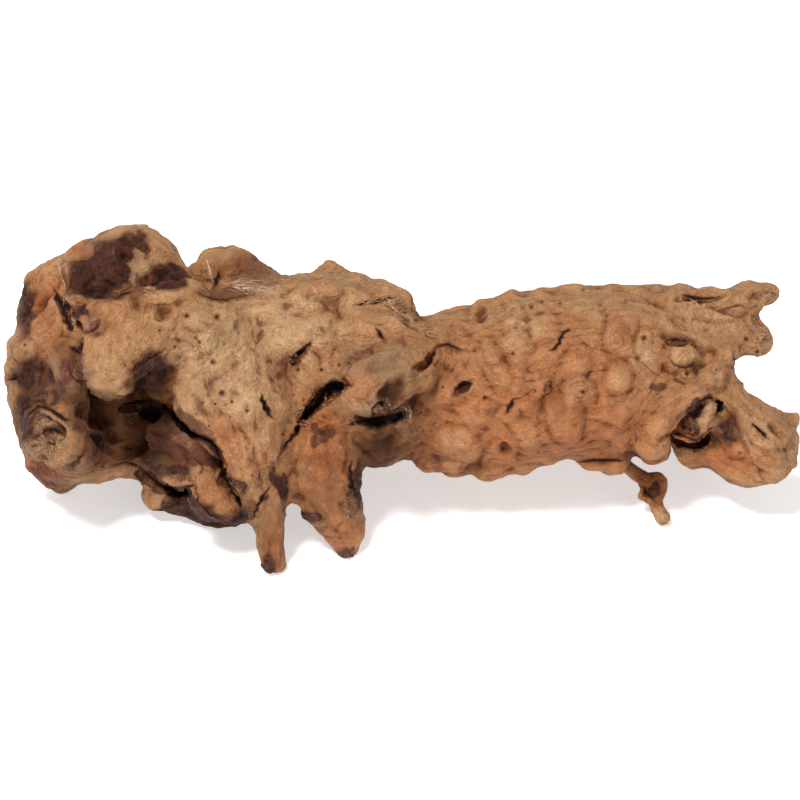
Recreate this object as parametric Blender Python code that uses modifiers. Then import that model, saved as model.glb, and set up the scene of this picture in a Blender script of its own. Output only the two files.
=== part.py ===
"""A bog wood root: one gnarled piece of root wood, 0.4 m long, lying on its stubs.

The wood is one solid. It is laid out as it is seen from the front and a little above, in
millimetres: across (to the right), up (in the picture) and out (towards the eye). Limbs are tubes
of changing radius through a few stations; together they are fused into one skin, hollows are cut
out of it, knots, dents and splits are raised or sunk in it by formula, and it is cut level where it
stands on the ground.
"""

import math

import bmesh
import bpy
import numpy as np
from mathutils.bvhtree import BVHTree

NAME = "bog_wood_root"
MM = 0.001

# How the picture frame stands in the world: leaned back by the eye's elevation, with the eye's distance
LEAN = math.radians(38)
EYE_DISTANCE = 1200.0
# The ground and the middle of the footprint, in world axes before the root is moved to the origin
GROUND = -55.0
MIDDLE = (1.34, 9.06)

# How the skin is made
VOXEL = 2.0
SKIN_VOXEL = 1.6
CUT_VOXEL = 0.8
FILLET = 2.6
TAKE_BACK = 2.1
TRIANGLES = 11000

WOOD_COLOUR = (0.46, 0.26, 0.13, 1)
WOOD_ROUGHNESS = 0.72

# Limbs of the trunk: (across, up, out, radius) stations in millimetres
TRUNK = {
    "trunk": [
        (-34, 4, 0, 37), (0, 6, 0, 35), (24, 6, 0, 37), (52, 6, 0, 42), (85, 13, 0, 42), (120, 15, -2, 39),
        (145, 21, -4, 30),
    ],
    "trunk_top": [(20, 25, -4, 16.5), (60, 32.2, -6, 20.3), (100, 36.6, -8, 20.8), (136, 38, -6, 20)],
    "upper_branch": [
        (138, 36, 2, 20), (155, 42, 3, 13.5), (166, 46, 4, 10), (175, 51.5, 4, 9), (183, 53.5, 4, 6.2),
    ],
    "lower_prong": [(144, 28, 6, 20), (160, 33, 8, 13), (170, 33, 8, 11), (179, 31, 8, 8)],
    "prong_drop": [(172, 30, 10, 7), (178, 28, 10, 6)],
    "end_web": [(148, 20, 0, 17), (155, 17, 4, 12)],
    "lobe_arm": [
        (146, 10, 4, 19), (157, 2, 8, 13.5), (165, -5, 10, 13), (173, -12, 10, 14), (180, -20, 8, 15.5),
        (184, -29, 6, 13),
    ],
    "lobe_foot": [
        (148, -23.5, -6, 11), (157, -25, -2, 10), (168, -30.5, 0, 11.8), (176, -32, 3, 12),
        (188, -30, 5, 10.5),
    ],
    "lobe_back": [(154, -6, -18, 17), (168, -20, -12, 15)],
    "trunk_lip": [
        (126, -20, 20, 8.5), (129, -9, 25, 9.5), (138, 1, 25, 9.5), (150, 8, 21, 9), (158, 12, 16, 8),
    ],
    "cave_shard": [(153, -12, 8, 5), (154, -10, 16, 4.2), (156, -7, 19, 3)],
    "lobe_spur": [(184, -9, 4, 6), (191, -9, 6, 3), (197, -9, 6, 2.2)],
    "lobe_corner": [(190.5, -19, 6, 8), (190.5, -30, 5, 8.3)],
    "twig": [(104, -26, -18, 3.8), (113.5, -33.5, -16, 3.4), (121, -40, -13, 3.9), (129, -43.5, -11, 4.8)],
    "twig_end": [(130.5, -43, -11, 5), (127, -50, -10, 4.6), (129, -54, -9, 4.4), (132, -58.5, -7, 5)],
    "twig_stub": [(126, -47, -9, 3), (120.5, -47.5, -8, 2.6)],
    "back_foot": [(142, 5, -8, 24), (148, -8, -34, 15), (150, -18, -52, 9.5)],
}

# Limbs of the head, the thick gnarled end
HEAD = {
    "core": [(-106, 24, -8, 36), (-80, 22, -6, 40), (-50, 20, -4, 41), (-20, 10, 0, 37)],
    "core_back": [(-150, 24, -22, 30), (-115, 18, -28, 34), (-70, 14, -24, 34), (-30, 10, -14, 30)],
    "top_ridge": [
        (-62, 43, 6, 18), (-45, 45, 6, 19), (-30, 46, 6, 19.5), (-18, 44, 8, 18), (-8, 40, 10, 15.5),
    ],
    "ridge_knob": [(-36, 58, 4, 9), (-33, 65.5, 4, 6.3), (-29, 62.5, 4, 5)],
    "ridge_end": [(-16, 46, 10, 14), (-6, 47, 12, 13), (-3, 40, 16, 11.5)],
    "torn_edge": [(-20, 42, 24, 10), (-6, 38, 26, 8), (4, 32, 28, 8)],
    "lip": [(-22, 30, 32, 13), (-6, 30, 36, 12), (6, 27, 37, 9.5), (13, 23, 36, 7)],
    "dome": [(-152, 57, 4, 21), (-141, 60, 5, 26), (-128.5, 59.5, 5, 24.5), (-117, 52, 6, 18.5)],
    "dome_shoulder": [(-168, 57, 2, 14), (-155, 66, 2, 14), (-146, 70, 2, 13)],
    "brow": [
        (-168, 46, 22, 9), (-156, 41, 36, 10), (-142, 40, 45, 12), (-124, 43, 42, 13), (-106, 46, 32, 15),
    ],
    "nose": [(-138, 40, 46, 14), (-142, 29, 56, 14.5), (-144, 16, 64, 15), (-144, 14, 66, 14.5)],
    "shard_ridge": [(-133, 62, 30, 3.5), (-131.5, 52, 44, 3.5), (-131, 42, 52, 4)],
    "knob_arm": [(-96, 32, 28, 20), (-110, 34, 40, 17), (-125, 31, 52, 15), (-137, 22, 61, 14.5)],
    "left_top": [(-176.5, 50, -2, 13.8), (-178, 38, 2, 14), (-172, 30, 4, 18)],
    "left_shoulder": [(-182, 58, -2, 7), (-172, 62.5, -2, 8)],
    "left_lobe": [(-164, 38, 20, 12), (-176, 30, 24, 15), (-184, 25, 18, 13)],
    "left_wart": [(-186, 15, 14, 10), (-192, 14, 14, 7.5)],
    "left_middle": [(-182, 12, 8, 15), (-179, -4, 4, 16.5), (-173.5, -19, 0, 16)],
    "inner_ridge": [(-172, 24, 30, 7), (-166, 18, 38, 9), (-164, 7, 36, 8), (-161, -3, 26, 6)],
    "inner_chunk": [(-176, 10, 18, 10), (-168, 2, 26, 9)],
    "stump": [(-168, -14, 4, 17), (-176, -16, 22, 14), (-178, -16, 32, 11.5)],
    "stump_face": [(-160, -22, 14, 13), (-165, -23, 32, 12), (-168, -17, 36, 12)],
    "corner_left": [(-171, -23, 6, 13), (-173, -30.5, 0, 9)],
    "corner_point": [(-162, -26, 0, 16), (-166, -34, -14, 10), (-168, -42, -26, 5)],
    "under_ridge": [(-164, -33, 10, 9), (-150, -32, 12, 8.5), (-136, -30.5, 11, 9), (-126, -35, 6, 9)],
    "under_body": [(-150, -12, -16, 22), (-120, -18, -14, 22), (-96, -24, -12, 22)],
    "dark_mass": [(-117, -16, 14, 9.5), (-108, -18, 20, 10), (-98, -24, 21, 9), (-92, -34, 19, 9)],
    "dark_bulge": [(-119, -31, 11, 10), (-111, -34, 17, 10.5), (-103, -38, 15, 9)],
    "small_leg": [(-119, -36, 4, 10.5), (-121, -48, -4, 7.6)],
    "dark_base": [(-115, -46, -10, 9), (-102, -50, -8, 11), (-90, -52.5, -7, 12), (-80, -52, -7, 11)],
    "toe": [(-99, -36, 24, 7.5), (-98, -44, 28, 9.5), (-92, -51, 28, 9.5), (-85, -56, 24, 6)],
    "skirt": [
        (-86, 14, 20, 29), (-76, -6, 25, 23), (-70, -28, 28, 16), (-66, -46, 28, 11), (-63, -60, 26, 8.5),
    ],
    "foot": [(-66, -52, 27, 9.5), (-64.5, -66, 23, 8.4), (-62.5, -80, 20, 7.6)],
    "skirt_edge": [
        (-104, 26, 39, 12), (-102, 4, 40, 10.5), (-93, -14, 40, 10), (-83, -25, 39, 9), (-78, -40, 35, 8.5),
        (-71, -54, 29, 8),
    ],
    "leg_root": [(-14, 2, 14, 22), (-32, -10, 18, 16), (-40, -24, 24, 15), (-41, -38, 25, 15.5)],
    "leg": [(-42, -34, 25, 15.5), (-38, -48, 21, 14.5), (-31, -60, 15, 11.5), (-27, -72, 11, 7.2)],
    "leg_side": [(-29, -22, 24, 9), (-28, -44, 18, 8.5), (-23, -60, 12, 5.5), (-21, -67, 10, 4.5)],
    "under_flap": [(-17, -14, 16, 15), (-11, -20, 10, 13.5), (0, -10, 14, 13)],
    "flap_edge": [(-8, -2, 34, 8), (0, -8, 32, 6), (2, -16, 24, 5)],
    "stub": [(16, 25, 22, 14), (3, 18, 40, 14.5), (-7, 12, 54, 15), (-18, 8, 64, 13.5)],
    "back_lobe": [(-94, 56, -20, 14.5), (-87, 58.5, -20, 16.5), (-77, 53, -16, 16), (-62, 44, -8, 17.5)],
    "back_knobs": [(-93, 69, -20, 6.5), (-83, 69, -20, 6.5)],
    "rear_foot": [(-100, 5, -30, 26), (-99, -3, -50, 16), (-98, -9, -63, 10.5)],
    "fold": [(-126, 54.5, 33, 4), (-117, 55, 32, 4.6), (-109, 53.5, 30, 4)],
    "stub_rim": [(-27, 2, 66, 3.6), (-20, -3, 69, 3.8), (-10, -4.5, 66, 3.6), (-2, 1, 60, 3.2)],
    "stump_rim": [(-186, -12, 26, 4.5), (-182, -7, 34, 4.5), (-174, -8, 40, 4.5), (-166, -13, 42, 4.5)],
    "corner_web": [(-182, -31, -4, 5), (-174, -38, -14, 6), (-169, -43.5, -25, 4)],
}

# Limbs of the far side, which the picture doesn't show
FAR_SIDE = {
    "far_ridge": [
        (-146, 26, -44, 12), (-112, 30, -54, 12), (-76, 22, -54, 11), (-40, 14, -44, 13), (2, 12, -30, 12),
    ],
    "far_stub": [(-60, 24, -44, 15), (-56, 29, -60, 12), (-53, 34, -71, 9.5)],
    "far_stub_side": [(-70, 34, -46, 9), (-72, 42, -54, 6)],
    "far_burl": [(52, 12, -24, 22), (64, 14, -28, 20), (76, 13, -26, 19)],
    "far_burl_small": [(104, 26, -28, 15), (112, 27, -30, 14)],
    "far_hump": [(-168, 20, -22, 16), (-172, 6, -20, 13)],
    "far_root": [
        (20, -2, -30, 12), (44, -8, -36, 9), (70, -10, -36, 8), (96, -6, -34, 7), (124, -4, -30, 8),
    ],
}

# Small rounded warts on the outline: (across, up, out, radius)
WARTS = [
    (29, 40, 0, 5.5), (50, 42, 4, 8), (60, 45, 6, 8.5), (73, 49, 0, 8), (86, 50, 2, 9), (140, 49, 0, 10.5),
    (133, 46, 0, 9), (15, -27.5, 10, 8), (27, -27.5, 8, 11), (46, -30.5, 6, 11), (61, -28, 8, 10.5),
    (95, -25, 4, 9.5), (106, -28, 2, 8), (127, -22, 10, 9.5), (-171, 66, 0, 6), (-30, 60, 4, 6),
    (-21, 56, 4, 8.5), (-118, 12, 34, 8), (-118, 60, 6, 5), (-14, -28, 10, 6), (-196, 11, 12, 3.6),
    (29.5, 42, 0, 4.6), (41, 45, 2, 4.6), (48, 46.8, 2, 4.2), (57, 50.5, 4, 4.4), (70, 51.8, 2, 4.2),
]

# Hollows: tubes that are cut out of the fused skin
HOLLOWS = {
    "cave": [(-138, 2, 46, 9), (-130, 0, 38, 9), (-124, -6, 26, 7)],
    "socket": [(-153, -16, 30, 5), (-143, -20, 22, 8), (-132, -21, 16, 7), (-125, -19, 12, 4)],
    "end_notch": [(174.2, 16.2, 34, 7.2), (174.2, 16.2, -34, 7.2)],
    "leg_notch": [(-53.3, -55, 50, 3), (-53.3, -55, -20, 3)],
    "leg_fork": [(-51.8, -61, 50, 5), (-51.8, -61, -20, 5)],
    "far_pocket": [(-24, 14, -66, 6), (-22, 12, -52, 8), (-20, 10, -42, 6)],
    "far_pocket_low": [(-132, 0, -66, 5), (-128, 2, -50, 7)],
    "right_cave": [
        (163, -1, 22, 4.5), (155, -5, 18, 7.5), (147, -13, 14, 8.5), (142, -23, 10, 6.5), (138, -31, 6, 5),
    ],
    "stub_mouth": [(-12, -9, 76, 5), (-10, -4, 66, 5), (-6, 0, 56, 4)],
    "stub_under": [(8, 2, 46, 6), (-4, -8, 48, 8), (-12, -12, 46, 6)],
    "stump_pocket": [(-182, -14, 52, 3), (-175, -15.5, 46, 4), (-168, -17, 52, 3)],
}

# Grooves follow the skin: (across, up, sunk below the skin as seen from the front, radius)
GROOVES = {
    "black_hole": [(-127, -6, 2, 4), (-120, -8, 5, 6), (-119, -8, 18, 6)],
    "side_hole": [(-138, -4, 0, 2.4), (-134, -6, 6, 3)],
    "under_gap": [(-130, -37, 1, 2.6), (-120, -43, 3, 3), (-108, -46, 3, 3), (-99, -48, 2, 2.6)],
    "toe_gap": [(-88, -32, 2, 2.6), (-87, -42, 5, 3.6), (-81, -51, 5, 3.6)],
    "left_split": [(-172, 54, 1, 2.2), (-168, 46, 3, 3), (-164, 36, 3, 3)],
    "brow_hole": [(-160, 38, 1, 2.6), (-159, 37, 9, 2.6)],
    "leg_crack": [
        (-30, 8, 2, 3), (-38, 3, 4, 4.4), (-46, -4, 4.5, 4.4), (-54, -14, 3.5, 3.4), (-59, -23, 2, 2.4),
    ],
    "leg_split": [(-59, -23, 2, 2.4), (-62, -31, 2, 2.2), (-59, -41, 3, 2.6), (-55.5, -50, 4, 3)],
    "foot_crack": [(-72, -55, 0, 1.6), (-66, -48, 1.5, 2)],
    "upper_slit": [(-55, 17, 1, 2), (-50, 22, 1.5, 2), (-43, 29, 0.5, 1.6)],
    "lower_slit": [(-70, 2, 0.5, 1.6), (-67, -4, 1.5, 2), (-62, -9, 0.5, 1.4)],
    "lip_gap": [(7, 16, 0, 2.2), (14, 19, 1, 2.6), (21, 26, 0, 1.8)],
    "torn_hole": [(-12, 36, 0, 2), (-9, 34, 3, 2.4)],
    "tear": [(-6, 43, 1, 2), (4, 39, 2, 2.4), (10, 34, 1, 2)],
    "branch_slot": [(142, 52, 0, 1.6), (150, 50, 1.5, 2), (158, 51, 0, 1.6)],
    "branch_crack": [(161, 47, 0, 1.2), (167, 45, 1, 1.4), (173, 44, 0, 1.2)],
    "knot_slot": [(133, 29, 0, 1.6), (140, 28, 1.5, 2.2), (148, 27, 0.5, 1.6)],
    "long_crack": [(85, 33, 0, 1), (99, 27, 0.6, 1.2), (112, 20, 0.6, 1.2), (126, 12, 0, 1)],
    "trunk_pit": [(28, 3, 0.5, 2.2), (32, 6.5, 1.5, 2.4), (36, 9, 0, 1.6)],
    "slit_a": [(53.5, -7, 0, 1.3), (58, -2, 1.5, 1.9)],
    "slit_b": [(73, 7, 0, 1.5), (77, 3, 1, 1.6)],
    "slit_c": [(76, 26, 0.5, 1.5), (80, 30, 1, 1.7), (86, 34, 0, 1.2)],
    "lobe_slit": [(176, -12, 0.5, 1.6), (182, -18, 1, 1.8)],
    "lobe_crack": [(162, -4, 0, 1), (172, -20, 0.8, 1.3), (181, -36, 0, 1)],
    "skirt_gap": [
        (-117, -4.5, 1, 2), (-110, -11.5, 2.5, 2.6), (-103, -18, 3, 2.8), (-95.5, -20.5, 3, 2.8),
        (-90, -28, 3.5, 3), (-88.5, -36, 3, 2.8),
    ],
    "toe_side": [(-103, -34, 1, 1.6), (-104.5, -42, 2, 2), (-102, -50, 2, 2)],
    "brow_crease": [(-158.5, 31, 0.4, 1.4), (-151, 33.5, 0.8, 1.6), (-143, 32, 0.2, 1.2)],
    "torn_line": [(-27, 46.5, 0, 1.2), (-17, 48.5, 1, 1.6), (-8, 50.5, 1, 1.8), (-1, 51.5, 0, 1.2)],
}

# Knots and dents seen from the front: (across, up, half width, half height, turn in degrees, rise)
KNOTS = [
    (41.5, 43.5, 4, 4, 0, -2.2), (60.5, 47.5, 6, 5, 0, 1.5), (69.5, 36, 8, 6, 0, 2),
    (56.5, 37.5, 4.5, 4.5, 0, 1.2), (57, 27, 7, 6, 0, 2.4), (46.5, 18, 5, 10.5, 24, 2.6),
    (108.5, 29.5, 5.5, 7.5, 15, 1.8), (110.5, 10, 9.5, 9.5, 0, 4), (90, 4, 6.5, 6.5, 0, 2.4),
    (88, 18, 5.5, 7.5, -12, 2.4), (81, -11, 8, 11.5, -8, 3.6), (27.5, -22, 11, 10, 0, 3),
    (64.5, -19, 8, 7, 0, 1.8), (17.5, 7, 8, 8, 0, 2), (44, -4, 3.5, 3.5, 0, 1), (141, 21.5, 7.5, 5.8, 0, 4),
    (144, 12.5, 3.4, 3.4, 0, 2), (158.5, 13, 5, 6, 0, 1.6), (128, -13, 5.5, 5, 0, 1.8),
    (122, 24, 10, 9, 0, 1.2), (122, 31, 3.5, 3.5, 0, 1.2), (36, -8, 9, 7, 30, 1.4),
    (100, -18, 9, 7, 0, -1.4), (70, 8, 9, 12, 20, -1.8), (52, -24.5, 3.4, 3, 0, -2.2),
    (31.5, 6, 6, 3, 32, -3.6), (140, 30, 9, 3, -14, -2.6), (150, 51, 10, 2.4, 2, -3.5),
    (166, 44, 9, 1.6, -8, -1.8), (178, 52, 4, 3, 0, -2), (181, 41, 4, 3, 0, -1.5),
    (188, -16, 5, 2.2, -50, -3), (168, -26, 4, 3, 0, 1.4), (-66, 55, 7, 3, 0, 1.2), (-44, 52, 10, 6, 12, 2),
    (-26, 50, 9, 6, 0, 1.2), (-96, 24, 10, 9, 0, 1.6), (-73, 33, 9, 8, 0, -1), (-58, 14, 6, 11, 8, -2),
    (-82, -2, 12, 10, 0, 1.4), (-40, 34, 12, 8, 10, 1), (-152, -8, 14, 6, 0, -2),
    (-125, 66, 16, 9, -20, -1.5), (-150, 62, 9, 9, 0, -1.4), (-118, 44, 4, 4, 0, -3),
    (-35, -15, 5, 3, 0, -2), (-174, -20, 7, 8, 0, -2), (-176, -6, 8, 2, -30, 2), (-188, 24, 5, 5, 0, 1.4),
    (-163, 10, 5, 9, 20, 1.6), (-37, 55, 8, 4.5, 10, 1.6), (-101, 40, 5, 4, 0, 1.2),
    (-104, 31, 6, 5, 0, -1.2), (-86, 18, 5, 5, 0, -0.9), (-58, 30, 12, 7, 25, 1.2),
    (-78, -26, 8, 10, 0, 1.2), (-74, -38, 5, 4, 0, 0.8), (-33, -22, 7, 9, 10, 1.2), (-46, 20, 3, 8, 40, 1),
    (70, 52, 5, 3, 0, 1), (152, 24, 6, 3, 0, -1.2), (165, 22, 5, 4, 0, 1),
]

# How much the knots are raised beyond their table heights
KNOT_GAIN = 1.1

# The far side has knots too, at seeded places
BACK_KNOTS = 46
BACK_SEED = 11

# Broad lumps of the whole surface: (wavelength, height), in millimetres
LUMPS = ((26.0, 1.8), (13.0, 1.1), (7.0, 0.8))


def clear_scene():
    """Removes every object of the startup scene."""
    for obj in list(bpy.data.objects):
        bpy.data.objects.remove(obj)


def to_world(points):
    """Picture frame to world axes, in millimetres: things nearer the eye are drawn in, then leaned back."""
    across, up, out = points[:, 0], points[:, 1], points[:, 2]
    nearness = 1 - out / EYE_DISTANCE
    across, up = across * nearness, up * nearness
    sine, cosine = math.sin(LEAN), math.cos(LEAN)
    y = up * sine - out * cosine
    z = up * cosine + out * sine
    return np.stack([across - MIDDLE[0], y - MIDDLE[1], z - GROUND], 1)


def to_picture(points):
    """World axes to picture frame, the inverse of to_world."""
    sine, cosine = math.sin(LEAN), math.cos(LEAN)
    x, y, z = points[:, 0] + MIDDLE[0], points[:, 1] + MIDDLE[1], points[:, 2] + GROUND
    up, out = y * sine + z * cosine, z * sine - y * cosine
    nearness = 1 - out / EYE_DISTANCE
    return np.stack([x / nearness, up / nearness, out], 1)


def spline_through(stations, per_gap=6):
    """Catmull-Rom curve through the stations, each coordinate and the radius alike."""
    knots = np.array(stations, float)
    knots = np.vstack([2 * knots[0] - knots[1], knots, 2 * knots[-1] - knots[-2]])
    t = np.linspace(0, 1, per_gap, endpoint=False)[:, None]
    pieces = []
    for a, b, c, d in zip(knots, knots[1:], knots[2:], knots[3:]):
        pieces.append(
            0.5 * (2 * b + (c - a) * t + (2 * a - 5 * b + 4 * c - d) * t**2 + (3 * b - a - 3 * c + d) * t**3)
        )
    return np.vstack([*pieces, knots[-2]])


def round_ended(line):
    """The line with a half ball at each end: stations whose radius falls as a quarter circle."""
    angles = np.radians([25, 48, 66, 80, 88])
    ends = []
    for end, inner in ((line[0], line[1]), (line[-1], line[-2])):
        away = end[:3] - inner[:3]
        away /= np.linalg.norm(away)
        centres = end[:3] + away * (end[3] * np.sin(angles))[:, None]
        ends.append(np.column_stack([centres, end[3] * np.cos(angles)]))
    return np.vstack([ends[0][::-1], line, ends[1]])


def limb(name, stations, grow=0.0):
    """A limb as a bevelled curve object, with the radius of each point from its station."""
    line = spline_through(stations)
    line[:, 3] += grow
    line = round_ended(line)
    places = to_world(line[:, :3]) * MM
    radii = line[:, 3] * (1 - line[:, 2] / EYE_DISTANCE)
    curve = bpy.data.curves.new(name, "CURVE")
    curve.dimensions = "3D"
    curve.bevel_depth = MM
    curve.bevel_resolution = 8
    curve.use_fill_caps = True
    spline = curve.splines.new("POLY")
    spline.points.add(len(places) - 1)
    for point, place, radius in zip(spline.points, places, radii):
        point.co = (*place, 1)
        point.radius = radius
    obj = bpy.data.objects.new(name, curve)
    bpy.context.scene.collection.objects.link(obj)
    return obj


def ball(name, station, grow=0.0):
    """A wart: one UV sphere at its station."""
    place = to_world(np.array([station[:3]], float))[0] * MM
    mesh = bpy.data.meshes.new(name)
    bm = bmesh.new()
    bmesh.ops.create_uvsphere(bm, u_segments=20, v_segments=12, radius=(station[3] + grow) * MM)
    bmesh.ops.translate(bm, vec=place, verts=bm.verts)
    bm.to_mesh(mesh)
    bm.free()
    obj = bpy.data.objects.new(name, mesh)
    bpy.context.scene.collection.objects.link(obj)
    return obj


def evaluated_mesh(obj):
    """A new mesh with the object's modifiers, or its curve's bevel, applied."""
    graph = bpy.context.evaluated_depsgraph_get()
    return bpy.data.meshes.new_from_object(obj.evaluated_get(graph))


def sunk_stations(stations, tree):
    """Groove stations with the skin's distance found by a look from the front in place of their depth."""
    found = []
    for across, up, sunk, radius in spline_through(stations, 5):
        near, far = to_world(np.array([[across, up, 200.0], [across, up, -200.0]]))
        hit = tree.ray_cast(near * MM, (far - near).tolist())[0]
        out = to_picture(np.array([hit]) / MM)[0, 2] if hit is not None else 0.0
        found.append((across, up, out - sunk, radius))
    return found


def joined(name, objects):
    """One mesh object that holds the shells of all these objects, which are removed."""
    bpy.context.view_layer.update()
    bm = bmesh.new()
    for obj in objects:
        mesh = evaluated_mesh(obj)
        bm.from_mesh(mesh)
        bpy.data.meshes.remove(mesh)
        bpy.data.objects.remove(obj)
    bmesh.ops.remove_doubles(bm, verts=bm.verts, dist=0.01 * MM)
    whole = bpy.data.meshes.new(name)
    bm.to_mesh(whole)
    bm.free()
    obj = bpy.data.objects.new(name, whole)
    bpy.context.scene.collection.objects.link(obj)
    return obj


def add_remesh(obj, voxel):
    """Fuses the shells into one skin of even squares."""
    remesh = obj.modifiers.new("fuse", "REMESH")
    remesh.mode = "VOXEL"
    remesh.voxel_size = voxel * MM


def add_smooth(obj, times):
    """Evens out the skin."""
    smooth = obj.modifiers.new("even", "SMOOTH")
    smooth.factor = 0.5
    smooth.iterations = times


def apply_modifiers(obj):
    """Replaces the object's mesh by its evaluated one."""
    mesh = evaluated_mesh(obj)
    obj.modifiers.clear()
    old, obj.data = obj.data, mesh
    bpy.data.meshes.remove(old)


def fused(name, limbs, warts, grow):
    """The limbs and warts as one skin: made too thick, fused, and taken back, which leaves fillets."""
    shells = [limb(key, stations, grow) for key, stations in limbs.items()]
    shells += [ball(f"wart_{i}", wart, grow) for i, wart in enumerate(warts)]
    obj = joined(name, shells)
    add_remesh(obj, VOXEL)
    if grow:
        shrink = obj.modifiers.new("take back", "DISPLACE")
        shrink.strength = -TAKE_BACK * MM
        shrink.mid_level = 0
    return obj


def lattice_noise(points, seed):
    """Smooth noise from -1 to 1: random values on a unit lattice, blended over each cell by 3t^2 - 2t^3."""
    cell = np.floor(points).astype(np.int64)
    t = points - cell
    t = t * t * (3 - 2 * t)
    total = np.zeros(len(points))
    for corner in np.ndindex(2, 2, 2):
        key = (cell + corner) @ np.array([73856093, 19349663, 83492791]) + seed * 2654435761
        key = (key ^ (key >> 13)) * 1274126177 & 0x7FFFFFFF
        value = ((key ^ (key >> 16)) & 0xFFFF) / 32767.5 - 1
        weight = np.prod(np.where(np.array(corner) == 1, t, 1 - t), axis=1)
        total += value * weight
    return total


def knot_rise(across, up, knot):
    """A knot's or dent's rise at each point: a round-topped hill with a faint groove round its foot."""
    centre_across, centre_up, half_width, half_height, turn, rise = knot
    cosine, sine = math.cos(math.radians(turn)), math.sin(math.radians(turn))
    x, y = across - centre_across, up - centre_up
    span = np.hypot((x * cosine + y * sine) / half_width, (y * cosine - x * sine) / half_height)
    hill = np.clip(1 - span**2 / 2.1, 0, None) ** 1.8
    groove = 0.3 * np.exp(-(((span - 1.35) / 0.3) ** 2))
    return KNOT_GAIN * rise * (hill - groove)


def back_knots():
    """Knots of the far side, scattered by a seeded draw along the trunk and the head."""
    draw = np.random.default_rng(BACK_SEED)
    across = np.linspace(-180, 165, BACK_KNOTS) + draw.uniform(-6, 6, BACK_KNOTS)
    up = draw.uniform(-22, 50, BACK_KNOTS)
    size = draw.uniform(3.5, 10, BACK_KNOTS)
    squash = draw.uniform(0.7, 1.3, BACK_KNOTS)
    turn = draw.uniform(0, 180, BACK_KNOTS)
    rise = np.where(draw.random(BACK_KNOTS) < 0.72, 0.36, -0.3) * size
    return np.column_stack([across, up, size, size * squash, turn, rise])


def relief(points, normals):
    """How far each point of the skin is raised, in millimetres: lumps everywhere, knots by side."""
    across, up, _ = to_picture(points).T
    toward_eye = normals @ np.array([0, -math.cos(LEAN), math.sin(LEAN)])
    front = np.clip(toward_eye * 4, 0, 1)
    back = np.clip(-toward_eye * 4, 0, 1)
    rise = np.zeros(len(points))
    for number, (wavelength, height) in enumerate(LUMPS):
        rise += height * lattice_noise(points / wavelength + 7.3 * number, number)
    for knot in KNOTS:
        rise += front * knot_rise(across, up, knot)
    for knot in back_knots():
        rise += back * knot_rise(across, up, knot)
    return rise


def raise_relief(obj):
    """Moves every point of the skin along its normal by the relief."""
    mesh = obj.data
    count = len(mesh.vertices)
    points = np.empty(count * 3, np.float32)
    normals = np.empty(count * 3, np.float32)
    mesh.vertices.foreach_get("co", points)
    mesh.vertices.foreach_get("normal", normals)
    points = points.reshape(-1, 3).astype(float)
    normals = normals.reshape(-1, 3).astype(float)
    points += normals * relief(points / MM, normals)[:, None] * MM
    mesh.vertices.foreach_set("co", points.astype(np.float32).ravel())
    mesh.update()


def thin_out(obj, triangles):
    """Keeps this many triangles, most of them where the skin bends most."""
    obj.data.calc_loop_triangles()
    collapse = obj.modifiers.new("thin out", "DECIMATE")
    collapse.ratio = triangles / len(obj.data.loop_triangles)
    collapse.use_collapse_triangulate = True


def connected_to(start):
    """All vertices joined to this one through edges."""
    found, edge = {start}, [start]
    while edge:
        for link in edge.pop().link_edges:
            for vert in link.verts:
                if vert not in found:
                    found.add(vert)
                    edge.append(vert)
    return found


def cut_level(obj):
    """Cuts the stubs off level with the ground, where they stand on it, and drops loose crumbs."""
    bm = bmesh.new()
    bm.from_mesh(obj.data)
    body = connected_to(max(bm.verts, key=lambda vert: vert.co.z))
    bmesh.ops.delete(bm, geom=[vert for vert in bm.verts if vert not in body], context="VERTS")
    everything = bm.verts[:] + bm.edges[:] + bm.faces[:]
    cut = bmesh.ops.bisect_plane(
        bm, geom=everything, dist=0.01 * MM, plane_co=(0, 0, 0), plane_no=(0, 0, -1), clear_outer=True
    )
    edges = [e for e in cut["geom_cut"] if isinstance(e, bmesh.types.BMEdge)]
    bmesh.ops.holes_fill(bm, edges=edges)
    bmesh.ops.triangulate(bm, faces=bm.faces)
    bm.to_mesh(obj.data)
    bm.free()


def finish(obj):
    """Material, smooth shading and the root's own collection."""
    wood = bpy.data.materials.new("root_wood")
    wood.use_nodes = True
    shader = wood.node_tree.nodes["Principled BSDF"]
    shader.inputs["Base Color"].default_value = WOOD_COLOUR
    shader.inputs["Roughness"].default_value = WOOD_ROUGHNESS
    obj.data.materials.clear()
    obj.data.materials.append(wood)
    obj.data.shade_smooth()
    obj.data.set_sharp_from_angle(angle=math.radians(50))
    place = bpy.data.collections.new(NAME)
    bpy.context.scene.collection.children.link(place)
    place.objects.link(obj)
    bpy.context.scene.collection.objects.unlink(obj)


def build():
    """The root: skin, hollows, relief, then fewer triangles and a level stand."""
    clear_scene()
    root = fused(NAME, {**TRUNK, **HEAD, **FAR_SIDE}, WARTS, FILLET)
    add_smooth(root, 4)
    apply_modifiers(root)
    tree = BVHTree.FromPolygons([v.co for v in root.data.vertices], [p.vertices for p in root.data.polygons])
    grooves = {key: sunk_stations(stations, tree) for key, stations in GROOVES.items()}
    hollows = fused("hollows", {**HOLLOWS, **grooves}, [], 0.0)
    hollows.modifiers["fuse"].voxel_size = CUT_VOXEL * MM
    apply_modifiers(hollows)
    carve = root.modifiers.new("hollows", "BOOLEAN")
    carve.operation = "DIFFERENCE"
    carve.solver = "MANIFOLD"
    carve.object = hollows
    add_remesh(root, SKIN_VOXEL)
    add_smooth(root, 3)
    apply_modifiers(root)
    bpy.data.objects.remove(hollows)
    raise_relief(root)
    thin_out(root, TRIANGLES)
    apply_modifiers(root)
    cut_level(root)
    finish(root)


build()
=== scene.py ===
"""Dresses the bog wood root: the fine skin with its grain, knots, bark and splits, and a plain studio."""

import math

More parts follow.
